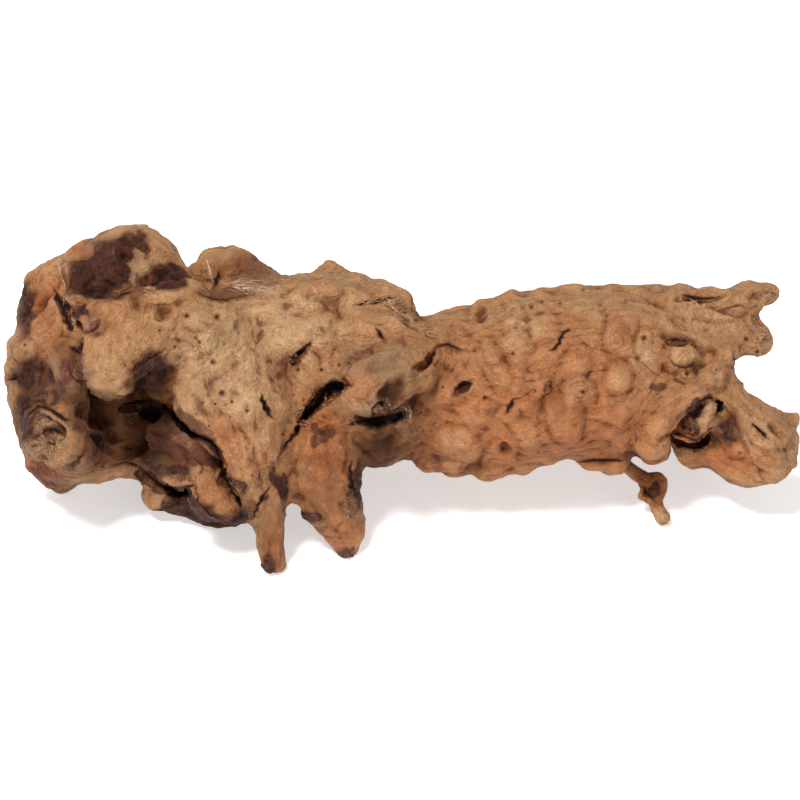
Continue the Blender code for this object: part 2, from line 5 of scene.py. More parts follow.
import bmesh
import bpy
import numpy as np
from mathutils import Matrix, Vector
from mathutils.bvhtree import BVHTree


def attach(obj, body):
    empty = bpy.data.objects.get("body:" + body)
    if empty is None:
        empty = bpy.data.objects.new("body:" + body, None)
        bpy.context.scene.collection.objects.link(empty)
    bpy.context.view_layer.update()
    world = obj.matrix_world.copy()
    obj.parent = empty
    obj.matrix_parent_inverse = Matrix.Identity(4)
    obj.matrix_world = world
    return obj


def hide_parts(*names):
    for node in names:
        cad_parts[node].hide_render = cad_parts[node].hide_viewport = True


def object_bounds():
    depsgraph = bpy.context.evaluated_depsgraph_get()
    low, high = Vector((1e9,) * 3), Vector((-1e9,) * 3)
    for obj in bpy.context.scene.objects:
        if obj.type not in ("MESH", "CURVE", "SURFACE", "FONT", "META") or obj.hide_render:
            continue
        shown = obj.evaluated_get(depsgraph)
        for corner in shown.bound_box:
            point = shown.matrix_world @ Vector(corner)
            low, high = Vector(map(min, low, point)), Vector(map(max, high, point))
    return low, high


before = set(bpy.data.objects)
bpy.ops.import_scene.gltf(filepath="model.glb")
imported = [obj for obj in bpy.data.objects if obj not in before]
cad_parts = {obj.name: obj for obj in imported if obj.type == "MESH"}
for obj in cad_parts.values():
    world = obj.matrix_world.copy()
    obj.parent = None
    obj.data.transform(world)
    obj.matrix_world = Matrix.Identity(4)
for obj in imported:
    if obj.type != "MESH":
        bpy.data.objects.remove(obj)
CAD_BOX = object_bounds()

bl_info = {
    "name": "Bog wood root",
    "version": (1, 0, 0),
    "blender": (4, 5, 0),
    "location": "3D View > Sidebar > Bog wood",
    "description": "Grows a gnarled piece of bog wood root and a plain studio round it",
    "category": "Add Mesh",
}

MM = 0.001
NODE = "bog_wood_root"

# How the picture frame stands in the world: leaned back by the eye's elevation, with the eye's distance
LEAN = math.radians(38)
EYE_DISTANCE = 1200.0
GROUND = -55.0
MIDDLE = (1.34, 9.06)
TOWARDS_EYE = np.array([0, -math.cos(LEAN), math.sin(LEAN)])

# Limbs of the trunk: (across, up, out, radius) stations in millimetres, as seen from the front
TRUNK = {
    "trunk": [
        (-34, 4, 0, 37), (0, 6, 0, 35), (24, 6, 0, 37), (52, 6, 0, 42), (85, 13, 0, 42),
        (120, 15, -2, 39), (145, 21, -4, 30),
    ],
    "trunk_top": [(20, 25, -4, 16.5), (60, 32.2, -6, 20.3), (100, 36.6, -8, 20.8), (136, 38, -6, 20)],
    "upper_branch": [
        (138, 36, 2, 20), (155, 42, 3, 13.5), (166, 46, 4, 10), (175, 51.5, 4, 9), (183, 53.5, 4, 6.2),
    ],
    "lower_prong": [(144, 28, 6, 20), (160, 33, 8, 13), (170, 33, 8, 11), (179, 31, 8, 8)],
    "prong_drop": [(172, 30, 10, 7), (178, 28, 10, 6)],
    "end_web": [(148, 20, 0, 17), (155, 17, 4, 12)],
    "lobe_arm": [
        (146, 10, 4, 19), (157, 2, 8, 13.5), (165, -5, 10, 13), (173, -12, 10, 14), (180, -20, 8, 15.5),
        (184, -29, 6, 13),
    ],
    "lobe_foot": [
        (148, -23.5, -6, 11), (157, -25, -2, 10), (168, -30.5, 0, 11.8), (176, -32, 3, 12),
        (188, -30, 5, 10.5),
    ],
    "lobe_back": [(154, -6, -18, 17), (168, -20, -12, 15)],
    "trunk_lip": [
        (126, -20, 20, 8.5), (129, -9, 25, 9.5), (138, 1, 25, 9.5), (150, 8, 21, 9), (158, 12, 16, 8),
    ],
    "cave_shard": [(153, -12, 8, 5), (154, -10, 16, 4.2), (156, -7, 19, 3)],
    "lobe_spur": [(184, -9, 4, 6), (191, -9, 6, 3), (197, -9, 6, 2.2)],
    "lobe_corner": [(190.5, -19, 6, 8), (190.5, -30, 5, 8.3)],
    "twig": [(104, -26, -18, 3.4), (113.5, -33.5, -16, 2.8), (121, -38.5, -13, 3), (128, -41.5, -11, 4)],
    "twig_end": [
        (129, -41.5, -11, 4.4), (129.5, -46, -11, 3.8), (127.5, -50, -10, 2.6), (129, -54, -9, 3),
        (132, -58.5, -7, 4),
    ],
    "twig_stub": [(126, -47, -9, 2.4), (121, -48, -8, 1.8)],
    "back_foot": [(142, 5, -8, 24), (148, -8, -34, 15), (150, -18, -52, 9.5)],
}

# Limbs of the head, the thick gnarled end
HEAD = {
    "core": [(-106, 24, -8, 36), (-80, 22, -6, 40), (-50, 20, -4, 41), (-20, 10, 0, 37)],
    "core_back": [(-150, 24, -22, 30), (-115, 18, -28, 34), (-70, 14, -24, 34), (-30, 10, -14, 30)],
    "top_ridge": [
        (-62, 43, 6, 18), (-45, 45, 6, 19), (-30, 46, 6, 19.5), (-18, 44, 8, 18), (-8, 40, 10, 15.5),
    ],
    "ridge_knob": [(-36, 58, 4, 9), (-33, 65.5, 4, 6.3), (-29, 62.5, 4, 5)],
    "ridge_end": [(-16, 46, 10, 14), (-6, 47, 12, 13), (-3, 40, 16, 11.5)],
    "torn_edge": [(-20, 42, 24, 10), (-6, 38, 26, 8), (4, 32, 28, 8)],
    "lip": [(-22, 30, 32, 13), (-6, 30, 36, 12), (6, 27, 37, 9.5), (13, 23, 36, 7)],
    "dome": [(-152, 57, 4, 21), (-141, 60, 5, 26), (-128.5, 59.5, 5, 24.5), (-117, 52, 6, 18.5)],
    "dome_shoulder": [(-168, 57, 2, 14), (-155, 66, 2, 14), (-146, 70, 2, 13)],
    "brow": [
        (-168, 46, 22, 9), (-156, 41, 36, 10), (-142, 40, 45, 12), (-124, 43, 42, 13), (-106, 46, 32, 15),
    ],
    "nose": [(-138, 40, 46, 14), (-142, 29, 56, 14.5), (-144, 16, 64, 15), (-144, 14, 66, 14.5)],
    "shard_ridge": [(-133, 62, 30, 3.5), (-131.5, 52, 44, 3.5), (-131, 42, 52, 4)],
    "knob_arm": [(-96, 32, 28, 20), (-110, 34, 40, 17), (-125, 31, 52, 15), (-137, 22, 61, 14.5)],
    "left_top": [(-176.5, 50, -2, 13.8), (-178, 38, 2, 14), (-172, 30, 4, 18)],
    "left_shoulder": [(-182, 58, -2, 7), (-172, 62.5, -2, 8)],
    "left_lobe": [(-164, 38, 20, 12), (-176, 30, 24, 15), (-184, 25, 18, 13)],
    "left_wart": [(-186, 15, 14, 10), (-192, 14, 14, 7.5)],
    "left_middle": [(-182, 12, 8, 15), (-179, -4, 4, 16.5), (-173.5, -19, 0, 16)],
    "inner_ridge": [(-172, 24, 30, 7), (-166, 18, 38, 9), (-164, 7, 36, 8), (-161, -3, 26, 6)],
    "inner_chunk": [(-176, 10, 18, 10), (-168, 2, 26, 9)],
    "stump": [(-168, -14, 4, 17), (-176, -16, 22, 14), (-178, -16, 32, 11.5)],
    "stump_face": [(-160, -22, 14, 13), (-165, -23, 32, 12), (-168, -17, 36, 12)],
    "corner_left": [(-171, -23, 6, 13), (-173, -30.5, 0, 9)],
    "corner_point": [(-162, -26, 0, 16), (-166, -34, -14, 10), (-168, -42, -26, 5)],
    "under_ridge": [(-164, -33, 10, 9), (-150, -32, 12, 8.5), (-136, -30.5, 11, 9), (-126, -35, 6, 9)],
    "under_body": [(-150, -12, -16, 22), (-120, -18, -14, 22), (-96, -24, -12, 22)],
    "dark_mass": [(-117, -16, 14, 9.5), (-108, -18, 20, 10), (-98, -24, 21, 9), (-92, -34, 19, 9)],
    "dark_bulge": [(-119, -31, 11, 10), (-111, -34, 17, 10.5), (-103, -38, 15, 9)],
    "small_leg": [(-119, -36, 4, 10.5), (-121, -48, -4, 7.6)],
    "dark_base": [(-115, -46, -10, 9), (-102, -50, -8, 11), (-90, -52.5, -7, 12), (-80, -52, -7, 11)],
    "toe": [(-99, -36, 24, 7.5), (-98, -44, 28, 9.5), (-92, -51, 28, 9.5), (-85, -56, 24, 6)],
    "skirt": [
        (-86, 14, 20, 29), (-76, -6, 25, 23), (-70, -28, 28, 16), (-66, -46, 28, 11), (-63, -60, 26, 8.5),
    ],
    "foot": [(-66, -52, 27, 9.5), (-64.5, -66, 23, 8.4), (-62.5, -80, 20, 7.6)],
    "skirt_edge": [
        (-104, 26, 39, 12), (-102, 4, 40, 10.5), (-93, -14, 40, 10), (-83, -25, 39, 9),
        (-78, -40, 35, 8.5), (-71, -54, 29, 8),
    ],
    "leg_root": [(-14, 2, 14, 22), (-32, -10, 18, 16), (-40, -24, 24, 15), (-41, -38, 25, 15.5)],
    "leg": [(-42, -34, 25, 15.5), (-38, -48, 21, 14.5), (-31, -60, 15, 11.5), (-27, -72, 11, 7.2)],
    "leg_side": [(-29, -22, 24, 9), (-28, -44, 18, 8.5), (-23, -60, 12, 5.5), (-21, -67, 10, 4.5)],
    "under_flap": [(-17, -14, 16, 15), (-11, -20, 10, 13.5), (0, -10, 14, 13)],
    "flap_edge": [(-8, -2, 34, 8), (0, -8, 32, 6), (2, -16, 24, 5)],
    "stub": [(16, 25, 22, 14), (3, 18, 40, 14.5), (-7, 12, 54, 15), (-18, 8, 64, 13.5)],
    "back_lobe": [(-94, 56, -20, 14.5), (-87, 58.5, -20, 16.5), (-77, 53, -16, 16), (-62, 44, -8, 17.5)],
    "back_knobs": [(-93, 69, -20, 6.5), (-83, 69, -20, 6.5)],
    "rear_foot": [(-100, 5, -30, 26), (-99, -3, -50, 16), (-98, -9, -63, 10.5)],
    "fold": [(-126, 54.5, 33, 4), (-117, 55, 32, 4.6), (-109, 53.5, 30, 4)],
    "stub_rim": [(-27, 2, 66, 3.6), (-20, -3, 69, 3.8), (-10, -4.5, 66, 3.6), (-2, 1, 60, 3.2)],
    "stump_rim": [(-186, -12, 26, 4.5), (-182, -7, 34, 4.5), (-174, -8, 40, 4.5), (-166, -13, 42, 4.5)],
    "corner_web": [(-182, -31, -4, 5), (-174, -38, -14, 6), (-169, -43.5, -25, 4)],
}

# Limbs of the far side
FAR_SIDE = {
    "far_ridge": [
        (-146, 26, -44, 12), (-112, 30, -54, 12), (-76, 22, -54, 11), (-40, 14, -44, 13),
        (2, 12, -30, 12),
    ],
    "far_stub": [(-60, 24, -44, 15), (-56, 29, -60, 12), (-53, 34, -71, 9.5)],
    "far_stub_side": [(-70, 34, -46, 9), (-72, 42, -54, 6)],
    "far_burl": [(52, 12, -24, 22), (64, 14, -28, 20), (76, 13, -26, 19)],
    "far_burl_small": [(104, 26, -28, 15), (112, 27, -30, 14)],
    "far_hump": [(-168, 20, -22, 16), (-172, 6, -20, 13)],
    "far_root": [
        (20, -2, -30, 12), (44, -8, -36, 9), (70, -10, -36, 8), (96, -6, -34, 7), (124, -4, -30, 8),
    ],
}

# Limbs laid over the skin after the hollows are cut, so that their edges stay crisp
LATE_LIMBS = {
    "toe": [
        (-99.5, -36, 27, 5.5), (-97.5, -42, 31, 7), (-94, -49, 33, 8.5), (-88, -53, 31, 8),
        (-81, -52.5, 29, 4.5),
    ],
    "cave_shard": [
        (145, -10, 16, 3.4), (149.5, -8, 19.5, 5.6), (153, -5, 20, 5.2), (156.5, -1.5, 17, 2.8),
    ],
    "shard_foot": [(150, -8, 20, 5.6), (151.5, -14.5, 17, 3.4)],
    "shard_lip": [(136, -14, 16, 2.2), (142, -18, 16, 3), (148, -19, 14, 3.2), (154, -16, 13, 2.2)],
    "stub_chip": [(2, -2, 40, 2), (4.5, -7, 40, 2.6), (6, -10.5, 38, 1.4)],
    "stub_bead": [(0.5, 12, 60, 2.4), (1.5, 9.5, 59, 2.6)],
    "low_fold": [(-125, 52.5, 36, 2.6), (-117, 53, 36, 3.2), (-109, 52.5, 34, 2.4)],
    "twig_ring": [(129.5, -55, -6, 3), (131, -58, -5, 3.4)],
    "brow_knot": [(-158, 44, 43, 4.5), (-154, 40, 45, 5.5), (-151, 36, 47, 4)],
}

# Small rounded warts on the outline: (across, up, out, radius)
WARTS = [
    (29, 40, 0, 5.5), (50, 42, 4, 8), (60, 45, 6, 8.5), (73, 49, 0, 8), (86, 50, 2, 9),
    (140, 49, 0, 10.5), (133, 46, 0, 9), (15, -27.5, 10, 8), (27, -27.5, 8, 11), (46, -30.5, 6, 11),
    (61, -28, 8, 10.5), (95, -25, 4, 9.5), (106, -28, 2, 8), (127, -22, 10, 9.5), (-171, 66, 0, 6),
    (-30, 60, 4, 6), (-21, 56, 4, 8.5), (-118, 12, 34, 8), (-118, 60, 6, 5), (-14, -28, 10, 6),
    (-196, 11, 12, 3.6), (29.5, 42, 0, 4.6), (41, 45, 2, 4.6), (48, 46.8, 2, 4.2), (57, 50.5, 4, 4.4),
    (70, 51.8, 2, 4.2),
]

# Hollows: tubes that are cut out of the fused skin
HOLLOWS = {
    "cave": [(-138, 2, 46, 9), (-130, 0, 38, 9), (-124, -6, 26, 7)],
    "socket": [(-153, -16, 30, 5), (-143, -20, 22, 8), (-132, -21, 16, 7), (-125, -19, 12, 4)],
    "end_notch": [(174.2, 16.2, 34, 7.2), (174.2, 16.2, -34, 7.2)],
    "leg_notch": [(-53.3, -55, 50, 3), (-53.3, -55, -20, 3)],
    "leg_fork": [(-51.8, -61, 50, 5), (-51.8, -61, -20, 5)],
    "far_pocket": [(-24, 14, -66, 6), (-22, 12, -52, 8), (-20, 10, -42, 6)],
    "far_pocket_low": [(-132, 0, -66, 5), (-128, 2, -50, 7)],
    "right_cave": [
        (157, -3, 20, 5), (152, -7, 17, 7), (146, -14, 14, 8), (141, -22, 10, 6), (137, -30, 6, 4.6),
    ],
    "stub_mouth": [(-12, -9, 76, 5), (-10, -4, 66, 5), (-6, 0, 56, 4)],
    "stub_under": [(8, 2, 46, 6), (-4, -8, 48, 8), (-12, -12, 46, 6)],
    "stump_pocket": [(-182, -14, 52, 3), (-175, -15.5, 46, 4), (-168, -17, 52, 3)],
}

# Grooves follow the skin: (across, up, sunk below the skin as seen from the front, radius)
GROOVES = {
    "black_hole": [(-127, -6, 2, 4), (-120, -8, 5, 6), (-119, -8, 18, 6)],
    "side_hole": [(-138, -4, 0, 2.4), (-134, -6, 6, 3)],
    "under_gap": [(-130, -37, 1, 2.6), (-120, -43, 3, 3), (-108, -46, 3, 3), (-99, -48, 2, 2.6)],
    "toe_gap": [(-88, -32, 2, 2.6), (-87, -42, 5, 3.6), (-81, -51, 5, 3.6)],
    "left_split": [(-172, 54, 1, 2.2), (-168, 46, 3, 3), (-164, 36, 3, 3)],
    "brow_hole": [(-160, 38, 1, 2.6), (-159, 37, 9, 2.6)],
    "leg_crack": [
        (-29, 8, 2, 3), (-37, 3, 4, 4), (-45, -5, 3.4, 3.4), (-52, -14, 2, 2.2), (-58, -23, 1, 1.4),
    ],
    "leg_split": [(-58, -23, 1, 1.4), (-63, -33, 1, 1.3), (-60, -42, 1.2, 1.6), (-56.5, -50, 2.4, 2.4)],
    "foot_crack": [(-72, -55, 0, 1.6), (-66, -48, 1.5, 2)],
    "upper_slit": [(-55, 17, 1, 2), (-50, 22, 1.5, 2), (-43, 29, 0.5, 1.6)],
    "lower_slit": [(-70, 2, 0.5, 1.6), (-67, -4, 1.5, 2), (-62, -9, 0.5, 1.4)],
    "lip_gap": [(7, 16, 0, 2.2), (14, 19, 1, 2.6), (21, 26, 0, 1.8)],
    "torn_hole": [(-12, 36, 0, 1.2), (-9.5, 34, 1.6, 1.5)],
    "under_shard": [
        (135, -18, 1.5, 2), (140, -20.5, 2.4, 2.9), (148, -21.5, 2.4, 2.9), (154, -18, 1.5, 2.2),
    ],
    "tear": [(-6, 43, 1, 2), (4, 39, 2, 2.4), (10, 34, 1, 2)],
    "branch_slot": [(142, 52, 0, 1.6), (150, 50, 1.5, 2), (158, 51, 0, 1.6)],
    "branch_crack": [(161, 47, 0, 1.2), (167, 45, 1, 1.4), (173, 44, 0, 1.2)],
    "knot_slot": [(133, 29, 0, 1.6), (140, 28, 1.5, 2.2), (148, 27, 0.5, 1.6)],
    "long_crack": [(85, 33, 0, 1), (99, 27, 0.6, 1.2), (112, 20, 0.6, 1.2), (126, 12, 0, 1)],
    "trunk_pit": [(28, 3, 0.3, 1.4), (32, 6.5, 0.8, 1.9), (36, 8, 0, 1.2)],
    "under_stub": [
        (-27, -5, 0.5, 1.2), (-21, -9.5, 2, 2.2), (-13, -11.2, 2.4, 2.9), (-5, -9.5, 2.6, 3.3),
        (0.5, -5.5, 2, 2.4), (4, 1, 0.5, 1.4),
    ],
    "slit_a": [(53.5, -7, 0, 1.3), (58, -2, 1.5, 1.9)],
    "slit_b": [(73, 7, 0, 1.5), (77, 3, 1, 1.6)],
    "slit_c": [(76, 26, 0.5, 1.5), (80, 30, 1, 1.7), (86, 34, 0, 1.2)],
    "lobe_slit": [(176, -12, 0.5, 1.6), (182, -18, 1, 1.8)],
    "lobe_crack": [(162, -4, 0, 1), (172, -20, 0.8, 1.3), (181, -36, 0, 1)],
    "skirt_gap": [
        (-117, -4.5, 1, 2), (-110, -11.5, 2.5, 2.6), (-103, -18, 3, 2.8), (-95.5, -20.5, 3, 2.8),
        (-90, -28, 3.5, 3), (-88.5, -36, 3, 2.8),
    ],
    "toe_side": [(-103, -34, 1, 1.6), (-104.5, -42, 2, 2), (-102, -50, 2, 2)],
    "brow_crease": [(-158.5, 31, 0.4, 1.4), (-151, 33.5, 0.8, 1.6), (-143, 32, 0.2, 1.2)],
    "torn_line": [(-27, 46.5, 0, 1.2), (-17, 48.5, 1, 1.6), (-8, 50.5, 1, 1.8), (-1, 51.5, 0, 1.2)],
}

# Knots and dents seen from the front: (across, up, half width, half height, turn in degrees, rise)
KNOTS = [
    (40.5, 43.5, 3, 3.4, 0, -1.7), (60.5, 47.5, 6, 5, 0, 1.5), (69.5, 36, 8, 6, 0, 2),
    (56.5, 37.5, 4.5, 4.5, 0, 1.2), (57, 27, 7, 6, 0, 2.4), (46.5, 18, 5, 10.5, 24, 2.6),
    (108.5, 29.5, 5.5, 7.5, 15, 1.8), (109.5, 11, 5.4, 6.4, 0, 2.4), (90, 4, 6.5, 6.5, 0, 2.4),
    (88, 18, 5.5, 7.5, -12, 2.4), (81, -11, 8, 11.5, -8, 3.6), (27.5, -22, 11, 10, 0, 3),
    (64.5, -19, 8, 7, 0, 1.8), (17.5, 7, 8, 8, 0, 2), (44, -4, 3.5, 3.5, 0, 1),
    (141, 21.5, 7.5, 5.8, 0, 4), (144, 12.5, 3.4, 3.4, 0, 2), (158.5, 13, 5, 6, 0, 1.6),
    (128, -13, 5.5, 5, 0, 1.8), (122, 24, 10, 9, 0, 1.2), (122, 31, 3.5, 3.5, 0, 1.2),
    (36, -8, 9, 7, 30, 1.4), (100, -18, 9, 7, 0, -1.4), (70, 8, 9, 12, 20, -1.8),
    (52, -24.5, 3.4, 3, 0, -2.2), (31.5, 6, 5, 2.4, 32, -1.8), (140, 30, 9, 3, -14, -2.6),
    (150, 51, 10, 2.4, 2, -3.5), (166, 44, 9, 1.6, -8, -1.8), (178, 52, 4, 3, 0, -2),
    (181, 41, 4, 3, 0, -1.5), (188, -16, 5, 2.2, -50, -3), (168, -26, 4, 3, 0, 1.4),
    (-66, 55, 7, 3, 0, 1.2), (-44, 52, 10, 6, 12, 2), (-26, 50, 9, 6, 0, 1.2), (-96, 24, 10, 9, 0, 1.6),
    (-73, 33, 9, 8, 0, -1), (-58, 14, 6, 11, 8, -2), (-82, -2, 12, 10, 0, 1.4), (-40, 34, 12, 8, 10, 1),
    (-152, -8, 14, 6, 0, -2), (-125, 66, 16, 9, -20, -1.5), (-150, 62, 9, 9, 0, -1.4),
    (-118, 44, 4, 4, 0, -3), (-35, -15, 5, 3, 0, -2), (-174, -20, 7, 8, 0, -2), (-176, -6, 8, 2, -30, 2),
    (-188, 24, 5, 5, 0, 1.4), (-163, 10, 5, 9, 20, 1.6), (-37, 55, 8, 4.5, 10, 1.6),
    (-101, 40, 5, 4, 0, 1.2), (-104, 31, 6, 5, 0, -1.2), (-86, 18, 5, 5, 0, -0.9),
    (-58, 30, 12, 7, 25, 1.2), (-78, -26, 8, 10, 0, 1.2), (-74, -38, 5, 4, 0, 0.8),
    (-33, -22, 7, 9, 10, 1.2), (-46, 20, 3, 8, 40, 1), (-3.5, 3.8, 8.6, 5.2, 48, -3.4),
    (70, 52, 5, 3, 0, 1), (152, 24, 6, 3, 0, -1.2), (165, 22, 5, 4, 0, 1),
]
KNOT_GAIN = 1.3

# Knots of the far side: how many, the seed of their draw, and where they lie across and up
BACK_KNOTS = 46
BACK_SEED = 11
BACK_ACROSS = (-180, 165)
BACK_UP = (-22, 50)

# Seed of the ragged grooves, and the broad lumps of the skin: (wavelength, height)
SLIT_SEED = 5
LUMPS = ((26.0, 1.8), (13.0, 1.1), (7.0, 0.8))

# Looks from the front start this far before the middle and end this far behind it
LOOK_DEPTH = 200.0

# Points whose distances are worked out at one time, and the distance that stands for "far from all"
BLOCK = 8192
FAR = 9.0

# Shine of the wood and of its fibres, and the height of the bump at full strength in metres
WOOD_SHINE = 0.2
FIBRE_SHINE = 0.3
BUMP_HEIGHT = 0.0015

# The stage in metres: half the floor's side, lamps (name, place, size), lens and sensor in millimetres
FLOOR_HALF = 4
LAMPS = (("key", (-0.5, -0.5, 1.75), 0.42), ("fill", (1.2, -1.2, 0.9), 1.2))
LENS = 108
SENSOR = 36

# Which knots show dark rings, by their place in the picture: (across, up, half width, half height)
RINGED = [
    (108.5, 29.5, 4.5, 6), (90, 4, 4.4, 4.4), (144, 12.5, 3.4, 3.4),
]

# Soft creases between the forms, seen from the front: (across, up, half width)
CREASES = {
    "stub_top": [
        (-29.5, 2, 1.1), (-28.5, 12, 1.6), (-25, 19, 1.7), (-18, 24, 1.7), (-8, 28.5, 1.5),
        (2, 30.5, 1.3), (12, 27.5, 1),
    ],
    "head_fold": [(-131, 48.5, 1), (-122.5, 46.5, 1.5), (-114, 47, 1.5), (-106.5, 51, 1)],
    "egg_left": [
        (80, 19, 1), (75.5, 9, 1.5), (72.5, -1, 1.5), (72.5, -12, 1.5), (76, -19, 1.5),
        (82.5, -21.5, 1.5), (88, -18, 1),
    ],
    "egg_top": [(78, 19, 1), (83, 24, 1.5), (90, 25, 1)],
    "bulb_low": [(104, 4, 0.8), (108, 0.5, 1), (113, 1, 1), (117, 5, 0.8)],
    "lump_left": [(120, 37, 1), (116.5, 27.5, 1.5), (119, 19, 1.5), (125, 12, 1)],
    "lump_right": [(132, 35, 1), (134, 25, 1.5), (132, 14, 1)],
    "big_knot_top": [
        (16, -16, 1), (22.5, -12, 1.5), (32.5, -12, 1.5), (39, -18, 1.5), (42, -26, 1.5), (39, -33, 1),
    ],
    "knot_side": [(49, 17, 1), (53, 22, 1.5), (60, 25, 1)],
    "trunk_fold": [(60, 50, 1), (64, 41, 1.5), (65, 32, 1.5), (62, 24, 1)],
    "trunk_fold_right": [(100, 50, 1), (103, 42, 1.5), (102, 35, 1)],
    "trunk_ridge": [(39, 30, 1), (43, 19, 1.5), (50, 9, 1)],
    "trunk_low": [(50, -10, 1), (56, -16, 1.5), (60, -23.5, 1.5), (59, -31, 1)],
    "trunk_up": [(70, 50, 1), (78, 44, 1.5), (87, 42, 1)],
    "head_side": [(-69, 35, 1), (-71.5, 25, 1.5), (-69, 13, 1)],
    "head_left": [(-110, 46, 1), (-112.5, 36, 1.5), (-109, 24, 1)],
    "skirt_fold": [(-80, -15, 1), (-74, -22.5, 1.5), (-71, -32.5, 1.5), (-69, -45, 1)],
    "leg_fold": [(-27.5, -14, 1), (-26.5, -25, 1.5), (-27.5, -35, 1.5), (-24, -44, 1)],
    "leg_edge": [(-50, -50, 1), (-40, -56, 1.2), (-32, -65, 1.2), (-28, -73, 1)],
    "flap_fold": [(-20, -18, 1), (-12, -22, 1.5), (-4, -19, 1)],
    "flap_low": [(-18, -26, 1), (-11, -31.5, 1.5), (-3, -28, 1)],
    "right_fold": [(158, 25, 1), (155.5, 15, 1.5), (158, 6, 1)],
    "right_low": [(119, -20, 1), (127.5, -22.5, 1.5), (136, -16, 1)],
    "branch_fold": [(148, 41, 1), (160, 38.5, 1.5), (173, 41, 1)],
    "lobe_fold": [(174, -21, 1), (182.5, -26.5, 1.5), (194.5, -25, 1)],
    "lobe_top": [(169, 1, 1), (176, -7, 1.5), (184, -12, 1)],
    "knob_rim": [
        (-158, 31, 1), (-160.5, 20, 1.5), (-158.5, 7, 1.5), (-152, -0.5, 1.5), (-144, -2.5, 1.5),
        (-135, 1.5, 1),
    ],
    "brow_rim": [(-162, 44, 1), (-160, 34.5, 1.5), (-152, 32, 1.5), (-145.5, 39, 1)],
    "dome_rim": [(-169, 74, 1), (-169, 62.5, 1.5), (-166, 52.5, 1.5), (-158, 49, 1)],
    "dome_low": [(-152, 50, 1), (-141, 51, 1.5), (-132, 52, 1)],
    "stump_rim": [(-158, -5, 1), (-155, -15, 1.5), (-157, -25, 1.5), (-164, -33, 1)],
    "mass_fold": [(-125, -16, 1), (-116, -19, 1.5), (-108, -26, 1.5), (-105, -34, 1)],
}

